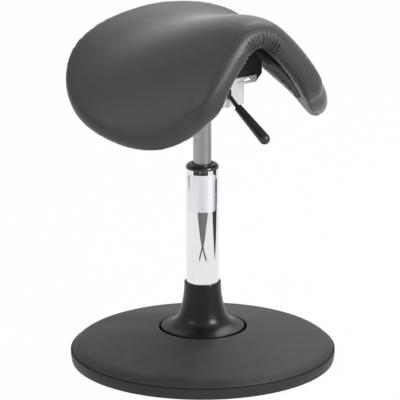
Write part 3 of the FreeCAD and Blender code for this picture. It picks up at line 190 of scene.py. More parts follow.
class Effects:
    """The shader groups that several finishes share."""

    def __init__(self) -> None:
        """Builds each group once."""
        self.mottle = self._mottle()
        self.moulded = self._moulded()
        self.hide = self._hide()
        self.turned = self._turned()
        self.fibres = self._fibres()
        self.drawn = self._drawn()
        self.dust = self._dust()

    @staticmethod
    def _mottle() -> bpy.types.NodeTree:
        """Broad uneven patches, for colour and gloss."""
        tree, wire, given, leave = new_group(
            "uneven_patches",
            [("Vector", "NodeSocketVector", 0), ("Scale", "NodeSocketFloat", 12)], ["Mask"])
        broad = wire.add("ShaderNodeTexNoise", Vector=given["Vector"], Scale=given["Scale"],
                         Detail=3.0, Roughness=0.55)
        finer = wire.add("ShaderNodeTexNoise", Vector=given["Vector"],
                         Scale=wire.maths("MULTIPLY", given["Scale"], 9.0), Detail=4.0,
                         Roughness=0.6)
        both = wire.maths("ADD", wire.maths("MULTIPLY", broad.outputs["Fac"], 0.65),
                          wire.maths("MULTIPLY", finer.outputs["Fac"], 0.35))
        wire.join(wire.spread(both, 0.0, 1.0, 0.36, 0.64), leave.inputs["Mask"])
        return tree

    @staticmethod
    def _moulded() -> bpy.types.NodeTree:
        """Fine spark-eroded texture of moulded plastic or rubber."""
        tree, wire, given, leave = new_group(
            "moulded_texture",
            [("Vector", "NodeSocketVector", 0), ("Scale", "NodeSocketFloat", 900)],
            ["Height", "Mask"])
        pits = wire.add("ShaderNodeTexVoronoi", feature="SMOOTH_F1", Vector=given["Vector"],
                        Scale=given["Scale"], Smoothness=0.4)
        lumps = wire.add("ShaderNodeTexNoise", Vector=given["Vector"],
                         Scale=wire.maths("MULTIPLY", given["Scale"], 0.33), Detail=3.0)
        height = wire.maths("ADD", wire.maths("MULTIPLY", pits.outputs["Distance"], 0.7),
                            wire.maths("MULTIPLY", lumps.outputs["Fac"], 0.6))
        wire.join(height, leave.inputs["Height"])
        wire.join(wire.spread(height, 0.0, 1.0, 0.35, 0.95), leave.inputs["Mask"])
        return tree

    @staticmethod
    def _hide() -> bpy.types.NodeTree:
        """Pebbled upholstery grain with hair-fine creases between the pebbles."""
        tree, wire, given, leave = new_group(
            "hide_grain",
            [("Vector", "NodeSocketVector", 0), ("Scale", "NodeSocketFloat", 700)],
            ["Height", "Mask"])
        warp = wire.add("ShaderNodeTexNoise", Vector=given["Vector"],
                        Scale=wire.maths("MULTIPLY", given["Scale"], 0.35), Detail=2.0)
        bent = wire.add("ShaderNodeVectorMath", operation="MULTIPLY_ADD")
        wire.join(warp.outputs["Color"], bent.inputs[0])
        bent.inputs[1].default_value = (0.0012, 0.0012, 0.0012)
        wire.join(given["Vector"], bent.inputs[2])
        cells = wire.add("ShaderNodeTexVoronoi", feature="DISTANCE_TO_EDGE",
                         Vector=bent.outputs[0], Scale=given["Scale"])
        pebble = wire.spread(cells.outputs["Distance"], 0.0, 1.0, 0.0, 0.22)
        larger = wire.add("ShaderNodeTexVoronoi", feature="DISTANCE_TO_EDGE",
                          Vector=bent.outputs[0],
                          Scale=wire.maths("MULTIPLY", given["Scale"], 0.31))
        crease = wire.spread(larger.outputs["Distance"], 0.0, 1.0, 0.0, 0.1)
        height = wire.maths("ADD", wire.maths("MULTIPLY", pebble, 0.55),
                            wire.maths("MULTIPLY", crease, 0.45))
        wire.join(height, leave.inputs["Height"])
        wire.join(pebble, leave.inputs["Mask"])
        return tree

    @staticmethod
    def _turned() -> bpy.types.NodeTree:
        """Fine rings left by turning or polishing about the upright axis."""
        tree, wire, given, leave = new_group(
            "turned_lines",
            [("Vector", "NodeSocketVector", 0), ("Scale", "NodeSocketFloat", 60)],
            ["Height", "Mask"])
        squeeze = wire.add("ShaderNodeVectorMath", operation="MULTIPLY")
        wire.join(given["Vector"], squeeze.inputs[0])
        squeeze.inputs[1].default_value = (1.0, 1.0, 60.0)
        lines = wire.add("ShaderNodeTexNoise", Vector=squeeze.outputs[0], Scale=given["Scale"],
                         Detail=4.0, Roughness=0.7)
        wire.join(lines.outputs["Fac"], leave.inputs["Height"])
        wire.join(wire.spread(lines.outputs["Fac"], 0.0, 1.0, 0.3, 0.7), leave.inputs["Mask"])
        return tree

    @staticmethod
    def _drawn() -> bpy.types.NodeTree:
        """Faint upright streaks on a drawn tube."""
        tree, wire, given, leave = new_group(
            "drawn_lines",
            [("Vector", "NodeSocketVector", 0), ("Scale", "NodeSocketFloat", 60)],
            ["Height", "Mask"])
        squeeze = wire.add("ShaderNodeVectorMath", operation="MULTIPLY")
        wire.join(given["Vector"], squeeze.inputs[0])
        squeeze.inputs[1].default_value = (1.0, 1.0, 0.03)
        lines = wire.add("ShaderNodeTexNoise", Vector=squeeze.outputs[0], Scale=given["Scale"],
                         Detail=5.0, Roughness=0.6)
        wire.join(lines.outputs["Fac"], leave.inputs["Height"])
        wire.join(wire.spread(lines.outputs["Fac"], 0.0, 1.0, 0.3, 0.7), leave.inputs["Mask"])
        return tree

    @staticmethod
    def _fibres() -> bpy.types.NodeTree:
        """Matted fibres of a pressed lining cloth, in three directions."""
        tree, wire, given, leave = new_group(
            "matted_fibres",
            [("Vector", "NodeSocketVector", 0), ("Scale", "NodeSocketFloat", 500)],
            ["Height", "Mask"])
        total: Optional[bpy.types.NodeSocket] = None
        for stretch in ((1.0, 0.12, 0.5), (0.12, 1.0, 0.5), (0.6, 0.6, 0.12)):
            pull = wire.add("ShaderNodeVectorMath", operation="MULTIPLY")
            wire.join(given["Vector"], pull.inputs[0])
            pull.inputs[1].default_value = stretch
            strand = wire.add("ShaderNodeTexNoise", Vector=pull.outputs[0],
                              Scale=given["Scale"], Detail=5.0, Roughness=0.65)
            total = (strand.outputs["Fac"] if total is None
                     else wire.maths("MAXIMUM", total, strand.outputs["Fac"]))
        wire.join(total, leave.inputs["Height"])
        wire.join(wire.spread(total, 0.0, 1.0, 0.45, 0.75), leave.inputs["Mask"])
        return tree

    @staticmethod
    def _dust() -> bpy.types.NodeTree:
        """Light dust on faces that look up, and rubbed places on sharp corners."""
        tree, wire, given, leave = new_group(
            "dust_and_rubbing", [("Vector", "NodeSocketVector", 0)], ["Dust", "Rubbed"])
        facing = wire.add("ShaderNodeNewGeometry")
        parts = wire.add("ShaderNodeSeparateXYZ", Vector=facing.outputs["Normal"])
        clouds = wire.add("ShaderNodeTexNoise", Vector=given["Vector"], Scale=38.0, Detail=6.0,
                          Roughness=0.62)
        up = wire.spread(parts.outputs["Z"], 0.0, 1.0, 0.35, 1.0)
        wire.join(wire.maths("MULTIPLY", up,
                             wire.spread(clouds.outputs["Fac"], 0.0, 1.0, 0.42, 0.72)),
                  leave.inputs["Dust"])
        corner = wire.spread(facing.outputs["Pointiness"], 0.0, 1.0, 0.53, 0.6)
        wire.join(wire.maths("MULTIPLY", corner, clouds.outputs["Fac"]),
                  leave.inputs["Rubbed"])
        return tree


# finishes


class Texture(Enum):
    """Which shared group gives a finish its fine relief."""

    MOULDED = "moulded"
    HIDE = "hide"
    TURNED = "turned"
    FIBRES = "fibres"
    DRAWN = "drawn"


PATCH_SHARE = 0.6
DUST_DULLS = 0.5
RUBBING_SHINES = 0.12
SHEEN_ROUGH = 0.4
# share of a finish's colour left in the deepest creases: painted shade
CREASE_SHADE = 0.15
# near-black colour of the painted shade in the foot cover's groove
GROOVE_SHADE_COLOUR: Colour = (0.001, 0.001, 0.001)


@dataclass(frozen=True)
class Finish:
    """One surface finish, with its colours in linear light and its relief in metres."""

    name: str
    colour: Colour
    second: Colour
    rough: tuple[float, float]
    texture: Texture = Texture.MOULDED
    scale: float = 900.0
    relief: float = 0.00006
    bump: float = 0.3
    patches: float = 14.0
    metallic: float = 0.0
    gloss: float = 0.5
    coat: float = 0.0
    coat_rough: float = 0.2
    sheen: float = 0.0
    # how strongly the creases attribute darkens the colour, as painted shade
    folds: float = 0.0
    dust: float = 0.1
    dust_colour: Colour = (0.22, 0.21, 0.2)
    # heights of a level band painted near-black as shade in a groove
    groove_shade: tuple[float, float] = (0.0, 0.0)

    def material(self, effects: Effects) -> bpy.types.Material:
        """Builds the material.

        Args:
            effects: the shared shader groups.

        Returns:
            The node material.
        """
        made = bpy.data.materials.new(self.name)
        made.use_nodes = True
        made.node_tree.nodes.clear()
        wire = Wiring(made.node_tree)
        place = wire.add("ShaderNodeTexCoord").outputs["Object"]
        grain = wire.add("ShaderNodeGroup", node_tree=getattr(effects, self.texture.value))
        patches = wire.add("ShaderNodeGroup", node_tree=effects.mottle)
        worn = wire.add("ShaderNodeGroup", node_tree=effects.dust)
        for group in (grain, patches, worn):
            wire.join(place, group.inputs["Vector"])
        grain.inputs["Scale"].default_value = self.scale
        patches.inputs["Scale"].default_value = self.patches
        mixed = wire.maths("ADD", wire.maths("MULTIPLY", patches.outputs["Mask"], PATCH_SHARE),
                           wire.maths("MULTIPLY", grain.outputs["Mask"], 1 - PATCH_SHARE),
                           clamp=True)
        colour = wire.blend(mixed, self.colour, self.second)
        dusty = wire.maths("MULTIPLY", worn.outputs["Dust"], self.dust)
        colour = wire.blend(dusty, colour, self.dust_colour)
        # painted shade: the colour darkens where the creases attribute is deep
        if self.folds:
            crease = wire.add("ShaderNodeAttribute", attribute_name=CREASES)
            depth = wire.maths("MULTIPLY", crease.outputs["Fac"], self.folds, clamp=True)
            colour = wire.blend(depth, colour, tuple(CREASE_SHADE * part for part in self.colour))
        rough = wire.spread(mixed, self.rough[0], self.rough[1])
        rough = wire.maths("ADD", rough, wire.maths("MULTIPLY", dusty, DUST_DULLS), clamp=True)
        rough = wire.maths("SUBTRACT", rough,
                           wire.maths("MULTIPLY", worn.outputs["Rubbed"], RUBBING_SHINES),
                           clamp=True)
        bump = wire.add("ShaderNodeBump", Height=grain.outputs["Height"], Strength=self.bump,
                        Distance=self.relief)
        # painted shade: a near-black, fully rough band round the groove
        if self.groove_shade[1] > 0:
            groove_shade = self.groove_shade_mask(wire, place)
            colour = wire.blend(groove_shade, colour, GROOVE_SHADE_COLOUR)
            rough = wire.maths("MAXIMUM", rough, groove_shade)
        surface = wire.add("ShaderNodeBsdfPrincipled")
        wire.join(colour, surface.inputs["Base Color"])
        wire.join(rough, surface.inputs["Roughness"])
        wire.join(bump.outputs["Normal"], surface.inputs["Normal"])
        for name, value in (("Metallic", self.metallic), ("Specular IOR Level", self.gloss),
                            ("Coat Weight", self.coat), ("Coat Roughness", self.coat_rough),
                            ("Sheen Weight", self.sheen), ("Sheen Roughness", SHEEN_ROUGH)):
            surface.inputs[name].default_value = value
        out = wire.add("ShaderNodeOutputMaterial")
        wire.join(surface.outputs[0], out.inputs["Surface"])
        return made

    def groove_shade_mask(self, wire: Wiring, place: bpy.types.NodeSocket) -> bpy.types.NodeSocket:
        """Mask of the narrow level band between two heights where the groove's shade is painted.

        Args:
            wire: the material's wiring.
            place: the Object coordinates.

        Returns:
            The mask's socket.
        """
        height = wire.add("ShaderNodeSeparateXYZ", Vector=place).outputs["Z"]
        above = wire.maths("GREATER_THAN", height, self.groove_shade[0])
        return wire.maths("MULTIPLY", above, wire.maths("LESS_THAN", height, self.groove_shade[1]))


FINISHES: dict[str, Finish] = {
    finish.name: finish for finish in (
        Finish("floor_rubber", (0.018, 0.018, 0.019), (0.03, 0.03, 0.03), (0.7, 0.9),
               scale=700, relief=0.0001, bump=0.5),
        Finish("ballast_steel", (0.07, 0.07, 0.075), (0.11, 0.1, 0.095), (0.45, 0.7),
               Texture.FIBRES, scale=120, metallic=1.0, patches=25),
        # foot_plastic paints shade as a near-black band in the groove below its dome
        Finish("foot_plastic", (0.0135, 0.0135, 0.0145), (0.0195, 0.0195, 0.0205), (0.52, 0.64),
               scale=820, relief=0.00012, bump=0.55, dust=0.07, sheen=0.06, gloss=0.42,
               groove_shade=(0.0170, 0.0183)),
        Finish("bell_plastic", (0.004, 0.004, 0.0045), (0.007, 0.007, 0.0075), (0.3, 0.36),
               scale=600, relief=0.00004, bump=0.25, dust=0.03, gloss=0.32),
        Finish("collar_plastic", (0.012, 0.012, 0.013), (0.02, 0.02, 0.021), (0.2, 0.3),
               scale=600, relief=0.00003, bump=0.3, coat=0.3, dust=0.04),
        Finish("cushion_rubber", (0.015, 0.015, 0.015), (0.026, 0.026, 0.026), (0.6, 0.85),
               scale=500, relief=0.0001),
        Finish("column_chrome", (0.84, 0.845, 0.85), (0.74, 0.745, 0.76), (0.05, 0.1),
               Texture.DRAWN, scale=260, relief=0.00001, bump=0.05, metallic=1.0, dust=0.02),
        Finish("cylinder_chrome", (0.42, 0.42, 0.425), (0.3, 0.3, 0.305), (0.3, 0.4),
               Texture.DRAWN, scale=90, relief=0.00002, bump=0.2, metallic=1.0, dust=0.02),
        Finish("bearing_steel", (0.6, 0.6, 0.62), (0.48, 0.48, 0.5), (0.12, 0.22),
               Texture.TURNED, scale=40, relief=0.00001, metallic=1.0, dust=0.0),
        Finish("bare_steel", (0.4, 0.4, 0.41), (0.3, 0.29, 0.285), (0.28, 0.45),
               Texture.TURNED, scale=30, relief=0.00003, metallic=1.0, dust=0.03),
        Finish("plated_steel", (0.72, 0.725, 0.73), (0.58, 0.585, 0.59), (0.3, 0.42),
               Texture.FIBRES, scale=160, relief=0.00003, bump=0.2, metallic=0.45, dust=0.03,
               patches=30),
        Finish("valve_brass", (0.55, 0.4, 0.17), (0.42, 0.29, 0.11), (0.25, 0.4),
               Texture.TURNED, scale=40, relief=0.00002, metallic=1.0, dust=0.0),
        Finish("lever_black", (0.014, 0.014, 0.015), (0.024, 0.024, 0.025), (0.24, 0.36),
               scale=1100, relief=0.00003, gloss=0.6, dust=0.05),
        Finish("grip_plastic", (0.012, 0.012, 0.013), (0.024, 0.024, 0.025), (0.34, 0.46),
               scale=620, relief=0.00016, bump=0.7, dust=0.06, gloss=0.6),
        Finish("block_plastic", (0.009, 0.009, 0.01), (0.016, 0.016, 0.017), (0.45, 0.6),
               scale=700, relief=0.00008, dust=0.04),
        Finish("shell_plastic", (0.014, 0.014, 0.015), (0.024, 0.024, 0.025), (0.5, 0.7),
               scale=500, relief=0.0001),
        Finish("foam", (0.5, 0.47, 0.36), (0.38, 0.35, 0.26), (0.85, 0.95),
               scale=420, relief=0.0004, bump=0.8, dust=0.0),
        # cover_leather and lining_cloth darken their creases as painted shade
        Finish("cover_leather", (0.021, 0.021, 0.023), (0.031, 0.0305, 0.0325),
               (0.42, 0.52), Texture.HIDE, scale=620, relief=0.00009, bump=0.4, patches=9,
               sheen=0.3, gloss=0.55, folds=0.8, dust=0.05, dust_colour=(0.14, 0.135, 0.13)),
        Finish("lining_cloth", (0.004, 0.004, 0.0044), (0.009, 0.009, 0.0095), (0.8, 0.95),
               Texture.FIBRES, scale=620, relief=0.00025, bump=0.9, sheen=0.08, folds=0.6,
               dust=0.03),
        Finish("label_film", (0.84, 0.83, 0.88), (0.9, 0.9, 0.93), (0.24, 0.34), scale=300,
               relief=0.00001, bump=0.1, metallic=0.65, coat=0.2, dust=0.0, patches=60),
    )
}


class Wardrobe:
    """Makes each finish's material once and puts it on pieces."""

    def __init__(self) -> None:
        """Starts with no materials made."""
        self.effects = Effects()
        self.made: dict[str, bpy.types.Material] = {}

    def material(self, name: str) -> bpy.types.Material:
        """The material of a finish, made at its first use."""
        if name not in self.made:
            self.made[name] = FINISHES[name].material(self.effects)
        return self.made[name]

    def dress(self, piece: bpy.types.Object, name: str) -> None:
        """Gives a piece one finish all over."""
        piece.data.materials.clear()
        piece.data.materials.append(self.material(name))

    def dress_cad(self) -> None:
        """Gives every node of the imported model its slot's finish."""
        for part in frame["record"]["subparts"]:
            piece = frame["nodes"][part["node"]]
            material = self.material(part["material_slot"])
            for slot in piece.material_slots:
                slot.link = "OBJECT"
                slot.material = material


# modelling helpers


def only(piece: bpy.types.Object) -> None:
    """Selects one object alone and makes it the active one."""
    bpy.ops.object.select_all(action="DESELECT")
    piece.hide_viewport = False
    piece.select_set(True)
    bpy.context.view_layer.objects.active = piece


def apply_modifier(piece: bpy.types.Object, kind: str, **settings: object) -> None:
    """Adds a modifier and applies it.

    Args:
        piece: the mesh object.
        kind: the modifier's type name.
        settings: the modifier's properties.
    """
    only(piece)
    modifier = piece.modifiers.new(kind.lower(), kind)
    for key, value in settings.items():
        setattr(modifier, key, value)
    bpy.ops.object.modifier_apply(modifier=modifier.name)


def place_of(piece: bpy.types.Object) -> np.ndarray:
    """The piece's vertices as rows of x, y and z."""
    rows = np.zeros(len(piece.data.vertices) * 3)
    piece.data.vertices.foreach_get("co", rows)
    return rows.reshape(-1, 3)


def put(piece: bpy.types.Object, rows: np.ndarray) -> None:
    """Moves the piece's vertices to new places."""
    piece.data.vertices.foreach_set("co", rows.astype(np.float32).ravel())
    piece.data.update()


def normals_of(piece: bpy.types.Object) -> np.ndarray:
    """The piece's vertex normals as rows."""
    rows = np.zeros(len(piece.data.vertices) * 3, np.float32)
    piece.data.vertex_normals.foreach_get("vector", rows)
    return rows.reshape(-1, 3).astype(float)


def mark_creases(piece: bpy.types.Object, depth: np.ndarray) -> None:
    """Stores how deep each vertex lies in a fold, 0 to 1, for the finish to darken as painted
    shade.
    """
    layer = piece.data.attributes.new(CREASES, "FLOAT", "POINT")
    layer.data.foreach_set("value", np.clip(depth, 0, 1).astype(np.float32))


def copied(name: str, nodes: Sequence[str]) -> bpy.types.Object:
    """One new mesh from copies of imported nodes, merged so that it is closed.

    Args:
        name: the new object's name.
        nodes: the nodes to copy.

    Returns:
        The new object.
    """
    bpy.ops.object.select_all(action="DESELECT")
    twins = []
    for node in nodes:
        twin = frame["nodes"][node].copy()
        twin.data = twin.data.copy()
        for key in [key for key in twin.keys() if key.startswith("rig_")]:
            del twin[key]
        twin.parent = None
        bpy.context.scene.collection.objects.link(twin)
        twin.select_set(True)
        twins.append(twin)
    bpy.context.view_layer.objects.active = twins[0]
    if len(twins) > 1:
        bpy.ops.object.join()
    piece = bpy.context.view_layer.objects.active
    piece.name = name
    piece.data.name = name
    piece.data.materials.clear()
    only(piece)
    bpy.ops.object.mode_set(mode="EDIT")
    bpy.ops.mesh.select_all(action="SELECT")
    bpy.ops.mesh.remove_doubles(threshold=0.00001)
    bpy.ops.mesh.customdata_custom_splitnormals_clear()
    bpy.ops.object.mode_set(mode="OBJECT")
    return piece


def smooth(piece: bpy.types.Object, angle: float = 40.0) -> None:
    """Shades a piece smooth, apart from edges sharper than an angle in degrees."""
    only(piece)
    bpy.ops.object.shade_smooth_by_angle(angle=math.radians(angle), keep_sharp_edges=False)


# the saddle's form


def bezier(share: np.ndarray, controls: Sequence[float]) -> np.ndarray:
    """Blend of control values from the back (0) to the front (1)."""
    degree = len(controls) - 1
    return sum(math.comb(degree, i) * share ** i * (1 - share) ** (degree - i) * value
               for i, value in enumerate(controls))


@dataclass(frozen=True)
class SaddleForm:
    """Middle surface of the pad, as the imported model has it."""

    back: float = 0.1113
    front: float = 0.129
    heights: tuple = (0.515, 0.490, 0.547, 0.539)
    leans: tuple = (-0.2, 5.8)
    crowns: tuple = (0.352, 0.215, 0.400, 0.0495)
    flanks: tuple = (0.143, 0.316, 0.322)
    turns: tuple = (23.8, 28.0, 42.0)
    spreads: tuple = (0.227, 0.195, 0.2795, 0.1663)
    corner_back: float = 2.73
    corner_front: float = 5.1
    half: float = 0.0205
    turn_under: float = 0.042

    @property
    def length(self) -> float:
        """Length of the ridge."""
        return self.back + self.front

    def frame_at(self, share: np.ndarray) -> tuple:
        """Ridge point and lean of the cutting plane at a share of the length.

        Args:
            share: 0 at the back, 1 at the front.

        Returns:
            The ridge's y and z, and the plane's lean in radians.
        """
        along = self.back - self.length * share
        height = bezier(share, self.heights)
        lean = np.radians(bezier(share, self.leans))
        return along, height, lean

    def reach(self, station: np.ndarray, beyond: float) -> np.ndarray:
        """Half girth at a station, with the edge moved out by beyond."""
        start, stop = -beyond, self.length + beyond
        middle, span = (start + stop) / 2, (stop - start) / 2
        where = np.clip((station - middle) / span, -1, 1)
        power = np.where(where > 0, self.corner_front, self.corner_back)
        full = bezier(np.clip(station / self.length, 0, 1), self.spreads) + beyond
        return full * (1 - np.abs(where) ** power) ** (1 / power)

    def arcs(self, station: np.ndarray) -> tuple:
        """Crown radius, flank radius and crown half angle at a station."""
        share = np.clip(station / self.length, 0, 1)
        crown = 1 / bezier(share, [1 / r for r in self.crowns])
        flank = 1 / bezier(share, [1 / r for r in self.flanks])
        girth = np.maximum(self.reach(station, self.half) - self.half, 0.02)
        turn = np.minimum(np.radians(bezier(share, self.turns)), 0.8 * girth / crown)
        return crown, flank, turn

    def point(self, station: np.ndarray, girth: np.ndarray, offset: np.ndarray) -> np.ndarray:
        """Places on or off the middle surface.

        Args:
            station: length along the ridge from the back.
            girth: signed length from the ridge, along the section.
            offset: height above the middle surface.

        Returns:
            Rows of x, y and z.
        """
        crown, flank, turn = self.arcs(station)
        along, height, lean = self.frame_at(station / self.length)
        reach = np.abs(girth)
        on_crown = reach <= crown * turn
        angle = np.where(on_crown, reach / crown, turn + (reach - crown * turn) / flank)
        across = np.where(on_crown, (crown + offset) * np.sin(angle),
                          (crown - flank) * np.sin(turn) + (flank + offset) * np.sin(angle))
        rise = np.where(on_crown, (crown + offset) * np.cos(angle),
                        (crown - flank) * np.cos(turn) + (flank + offset) * np.cos(angle)) - crown
        return np.stack([np.sign(girth) * across, along + rise * np.sin(lean),
                         height + rise * np.cos(lean)], axis=-1)

    def locate(self, rows: np.ndarray) -> tuple[np.ndarray, np.ndarray, np.ndarray]:
        """The reverse of point.

        Args:
            rows: places as rows of x, y and z.

        Returns:
            Station, signed girth and offset of each.
        """
        share = np.clip((self.back - rows[:, 1]) / self.length, -0.2, 1.2)
        for _ in range(8):
            along, height, lean = self.frame_at(share)
            off = (rows[:, 1] - along) * np.cos(lean) - (rows[:, 2] - height) * np.sin(lean)
            share = np.clip(share - off / (self.length * np.cos(lean)), -0.2, 1.2)
        along, height, lean = self.frame_at(share)
        station = share * self.length
        rise = (rows[:, 1] - along) * np.sin(lean) + (rows[:, 2] - height) * np.cos(lean)
        crown, flank, turn = self.arcs(station)
        across = np.abs(rows[:, 0])
        angle = np.arctan2(across, rise + crown)
        low = rise + crown - (crown - flank) * np.cos(turn)
        side = across - (crown - flank) * np.sin(turn)
        beyond = np.arctan2(side, low)
        on_crown = angle <= turn
        girth = np.where(on_crown, crown * angle, crown * turn + flank * (beyond - turn))
        offset = np.where(on_crown, np.hypot(across, rise + crown) - crown,
                          np.hypot(side, low) - flank)
        return station, girth * np.sign(rows[:, 0]), offset


def steps(value: np.ndarray, low: float, high: float) -> np.ndarray:
    """Smooth rise from 0 at low to 1 at high."""
    share = np.clip((value - low) / (high - low), 0, 1)
    return share * share * (3 - 2 * share)


def waver(rows: np.ndarray, size: float, seed: float) -> np.ndarray:
    """Soft noise from -1 to 1 at each row, with features of a size."""
    return np.array([noise.noise(Vector((x / size + seed, y / size, z / size)))
                     for x, y, z in rows])


# saddle


@dataclass
class Upholstery:
    """The padded seat with its stretched cover, its gathers and its underside."""

    wardrobe: Wardrobe
    form: SaddleForm = field(default_factory=SaddleForm)
    voxel: float = 0.0052
    shrink: float = 0.0006
    pressure: float = 4.0
    frames: int = 20
    cap: float = 0.0012
    held_inset: float = 0.03
    held_depth: float = 0.012
    border: tuple[float, float] = (0.024, 0.032)
    pleat_pitch: float = 0.0066
    pleat_depth: float = 0.0056
    pleat_edge: tuple[float, float] = (0.022, 0.032)
    crest_reach: tuple[float, float] = (0.022, 0.055)
    crest_share: float = 0.8
    arch_reach: tuple[float, float] = (0.09, 0.19)
    pucker_pitch: float = 0.012
    pucker_depth: float = 0.0016
    pucker_edge: tuple[float, float] = (0.022, 0.034)
    cloth_thickness: float = 0.0007
    fold_pitch: float = 0.034
    crossed_pitch: float = 0.052
    fold_height: float = 0.0016
    slack_height: float = 0.0012
    sag: float = 0.009
    sag_middle: float = 0.084
    sag_width: float = 0.026
    block_margin: float = 0.006
    staple_pitch: float = 0.021
    staple_size: tuple[float, float, float] = (0.009, 0.0013, 0.0008)
    staple_bevel: float = 0.0003
    staple_depth: float = 0.0019
    staple_slant: float = 20.0

    def build(self) -> list[bpy.types.Object]:
        """Makes the pad, its lining and the staples.

        Returns:
            The finished pieces.
        """
        return [self.pad(), self.lining(), self.staples()]

    def pad(self) -> bpy.types.Object:
        """The stuffed pad: swollen by simulation, then gathered at its edges.

        Returns:
            The finished piece.
        """
        piece = copied("seat_upholstery", ["seat_cover", "seat_foam", "seat_shell",
                                           "underside_lining"])
        apply_modifier(piece, "REMESH", mode="VOXEL", voxel_size=self.voxel)
        self.swell(piece)
        apply_modifier(piece, "SUBSURF", levels=1, render_levels=1)
        self.refine(piece)
        self.gather(piece)
        smooth(piece, 75)
        self.wardrobe.dress(piece, "cover_leather")
        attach(piece, "saddle")
        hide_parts("seat_cover", "seat_foam")
        return piece

    def swell(self, piece: bpy.types.Object) -> None:
        """Blows the pad up a little, with its underside held.

        Args:
            piece: the remeshed pad.
        """
        rest = place_of(piece)
        station, girth, offset = self.form.locate(rest)
        start = rest - normals_of(piece) * self.shrink
        held = piece.vertex_groups.new(name="held")
        inner = self.form.reach(station, self.form.half) - self.held_inset
        under = ((offset < -self.held_depth) & (np.abs(girth) < inner)
                 & (station < self.form.length - self.held_depth))
        held.add([int(i) for i in np.nonzero(under)[0]], 1.0, "REPLACE")
        put(piece, start)
        only(piece)
        cloth = piece.modifiers.new("cloth", "CLOTH")
        cloth.settings.quality = 4
        cloth.settings.mass = 0.35
        cloth.settings.tension_stiffness = 18
        cloth.settings.compression_stiffness = 18
        cloth.settings.bending_stiffness = 1.2
        cloth.settings.use_pressure = True
        cloth.settings.uniform_pressure_force = self.pressure
        cloth.settings.vertex_group_mass = "held"
        cloth.settings.effector_weights.gravity = 0
        cloth.point_cache.frame_end = self.frames
        for number in range(1, self.frames + 1):
            bpy.context.scene.frame_set(number)
        only(piece)
        bpy.ops.object.modifier_apply(modifier=cloth.name)
        bpy.context.scene.frame_set(1)
        piece.vertex_groups.clear()
        moved = place_of(piece) - rest
        moved[under] = 0.0
        farthest = float(np.linalg.norm(moved, axis=1).max())
        moved *= self.cap / max(self.cap, farthest)
        put(piece, rest + moved)
        LOG.info("pad swelled by %.1f mm, scaled to %.1f mm at most", 1000 * farthest,
                 1000 * min(self.cap, farthest))

    def edge_places(self, rows: np.ndarray) -> tuple:
        """Where points lie relative to the turned-under border.

        Args:
            rows: places as rows of x, y and z.

        Returns:
            Station, girth, offset, then distance inwards from the front, back and side
            edges of the pad's middle surface.
        """
        station, girth, offset = self.form.locate(rows)
        side = self.form.reach(station, 0.0) - np.abs(girth)
        return station, girth, offset, self.form.length - station, station, side

    def gather_share(self, rows: np.ndarray) -> np.ndarray:
        """How strongly the cover is gathered at each place, 0 to 1."""
        _, girth, offset, front, back, side = self.edge_places(rows)
        under = steps(-offset, -0.012, 0.006)
        border = 1 - steps(np.minimum(np.minimum(front, back), side), *self.border)
        arch = (1 - steps(np.abs(girth), 0.07, 0.13)) * (1 - steps(front, *self.border))
        return under * np.clip(0.35 * border + arch, 0, 1)

    def refine(self, piece: bpy.types.Object) -> None:
        """Divides the faces where the pleats come."""
        strong = self.gather_share(place_of(piece)) > 0.04
        only(piece)
        bpy.ops.object.mode_set(mode="EDIT")
        bpy.ops.mesh.select_all(action="DESELECT")
        bpy.ops.object.mode_set(mode="OBJECT")
        for face in piece.data.polygons:
            face.select = all(strong[i] for i in face.vertices)
        bpy.ops.object.mode_set(mode="EDIT")
        bpy.ops.mesh.select_mode(type="FACE")
        bpy.ops.mesh.subdivide(number_cuts=2, smoothness=0.6)
        bpy.ops.object.mode_set(mode="OBJECT")

    def pleats(self, rows: np.ndarray) -> np.ndarray:
        """Depth of the pleats under the arch, 0 to about 1, strongest at its crown.

        Args:
            rows: places near the border as rows of x, y and z.

        Returns:
            The share of the pleats' full depth at each place.
        """
        drift = waver(rows, 0.028, 3.1)
        uneven = waver(rows, 0.013, 9.7)
        _, girth, offset, front, _, _ = self.edge_places(rows)
        crest = 1 - steps(np.abs(girth), *self.crest_reach)
        arch = 1 - self.crest_share + self.crest_share * crest
        arch *= 1 - steps(np.abs(girth), *self.arch_reach)
        arch *= 1 - steps(front, *self.pleat_edge)
        arch *= steps(-offset, 0.006 - 0.018 * crest + 0.01 * drift, 0.015 - 0.004 * crest)
        wave = np.abs(np.sin(math.pi * (girth + 0.004 * drift) / self.pleat_pitch))
        finer = np.abs(np.sin(math.pi * (girth * 1.63 + 0.003 * uneven) / self.pleat_pitch))
        pleat = (1 - wave) ** 1.5 * np.clip(0.75 + 0.9 * uneven, 0, 1.4)
        pleat += 0.35 * (1 - finer) ** 2 * np.clip(0.6 - 0.9 * uneven, 0, 1)
        return arch * pleat

    def puckers(self, rows: np.ndarray) -> np.ndarray:
        """Depth of the puckers along the turned-under border, 0 to about 1.

        Args:
            rows: places near the border as rows of x, y and z.

        Returns:
            The share of the puckers' full depth at each place.
        """
        drift = waver(rows, 0.028, 3.1)
        uneven = waver(rows, 0.013, 9.7)
        station, girth, offset, front, back, side = self.edge_places(rows)
        sides = 1 - steps(side, *self.pucker_edge)
        sides *= steps(front, -0.002, 0.02) * steps(back, -0.002, 0.02)
        ends = 1 - steps(np.minimum(front, back), *self.pucker_edge)
        ends *= steps(side, -0.002, 0.02)
        ripple = np.abs(np.sin(math.pi * (station + 0.008 * drift) / self.pucker_pitch))
        cross = np.abs(np.sin(math.pi * (girth + 0.008 * drift) / self.pucker_pitch))
        pucker = (sides * (1 - ripple) ** 2 + ends * (1 - cross) ** 2)
        return pucker * steps(-offset, 0.0, 0.016) * np.clip(0.5 + 0.9 * uneven, 0, 1.3)

